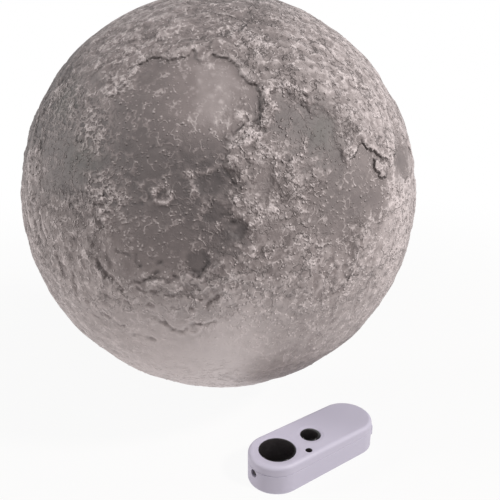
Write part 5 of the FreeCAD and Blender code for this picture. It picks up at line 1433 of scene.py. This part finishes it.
# %% [markdown]
# ## Finishes for the solids that stay as they are
# The rest is seen only from behind or with a door open. Those solids keep their CAD shape and get
# a finish each: glass-fibre boards with copper tracks under green lacquer, black moulded chips,
# yellowish lamp resin, a ribbed flat cable.

# %% Boards, chips and lamps
TRACK_MM, WEAVE_MM = 6.0, 0.5
# glass cloth in epoxy under green lacquer: glossy, with paler lines where copper lies under it
board = start_material("lacquered_glass_epoxy_board")
board_place = add(board, "TexCoord")
tracks = add(board, "TexBrick", {"Vector": (board_place, "Object"), "Scale": 1 / (TRACK_MM * MM),
                                 "Color1": linear("#1f5a38"), "Color2": linear("#2a6e46"),
                                 "Mortar": linear("#3f8a5c"), "Mortar Size": 0.03})
weave = add(board, "TexNoise", {"Vector": (board_place, "Object"), "Scale": 1 / (WEAVE_MM * MM)})
fibres = add(board, "Bump", {"Height": (weave, 0), "Strength": 0.3, "Distance": 0.02 * MM})
lacquer = add(board, "BsdfPrincipled", {"Base Color": (tracks, 0), "Roughness": 0.32,
                                        "Normal": (fibres, 0)})
add(board, "OutputMaterial", {"Surface": (lacquer, 0)})

# filled epoxy, pressed round the chip: dull charcoal
chip_black = plastic("transfer_moulded_epoxy_black", "#1b1b1c", 0.6, 0.2, 0.01)
# silicone full of phosphor dust: a milky yellow that hides the chip
lamp_resin = clear_resin("phosphor_filled_silicone", "#e8d98c", 0.35, 0.2)
print("boards and chips:", board.name, chip_black.name, lamp_resin.name)

# %% Flat cable
RIB_MM = 1.27    # from one core to the next
WAVE_PERIOD = 0.31    # length of one band of the wave texture at scale 1
# soft vinyl drawn round a row of cores: satin, with a shallow rib over each core
cable = start_material("extruded_pvc_flat_cable")
cable_place = add(cable, "TexCoord")
ribs = add(cable, "TexWave", {"Vector": (cable_place, "Object"),
                              "Scale": WAVE_PERIOD / (RIB_MM * MM)}, bands_direction="X")
rib_relief = add(cable, "Bump", {"Height": (ribs, 0), "Strength": 0.8, "Distance": 0.2 * MM})
vinyl = add(cable, "BsdfPrincipled", {"Base Color": linear("#c9c9cc"), "Roughness": 0.45,
                                      "Normal": (rib_relief, 0)})
add(cable, "OutputMaterial", {"Surface": (vinyl, 0)})
print("ribs every", RIB_MM, "mm")

# %% [markdown]
# ## Every solid gets its finish
# A CAD node that a new piece replaces is still given its finish, so that nothing is left bare.

# %% Finishes, node by node
FINISHES = {
    painted: ("moon_dome",),
    back_white: ("rear_cover", "battery_door"),
    dull_white: ("light_baffle", "led_boards"),
    lamp_resin: ("leds",),
    board: ("main_board", "receiver_board", "remote_board"),
    chip_black: ("board_chips", "ir_receiver"),
    cable: ("led_cable",),
    nickel: ("aa_spring_contacts", "aa_plate_contacts", "remote_spring_contacts",
             "remote_plate_contacts", "remote_key_switches"),
    zinc: ("dome_screws", "baffle_screws", "board_screws", "remote_screws"),
    sleeve: ("aa_cell_1", "aa_cell_2", "aa_cell_3", "aa_cell_4", "aaa_cell_1", "aaa_cell_2"),
    plain_black: ("power_switch", "power_switch_knob"),
    casing: ("remote_top_cover", "remote_bottom_shell", "remote_battery_door"),
    gloss_black: ("remote_big_button", "remote_small_button"),
    smoked: ("remote_indicator",),
    emitter_resin: ("remote_ir_led",),
}
for finish, names in FINISHES.items():
    for name in names:
        mesh = frame["nodes"][name].data
        mesh.materials.clear()
        mesh.materials.append(finish)
print("finished nodes:", sum(len(names) for names in FINISHES.values()), "of", len(frame["nodes"]))

# %% Close the lesson
bpy.context.scene.view_settings.view_transform = "Standard"
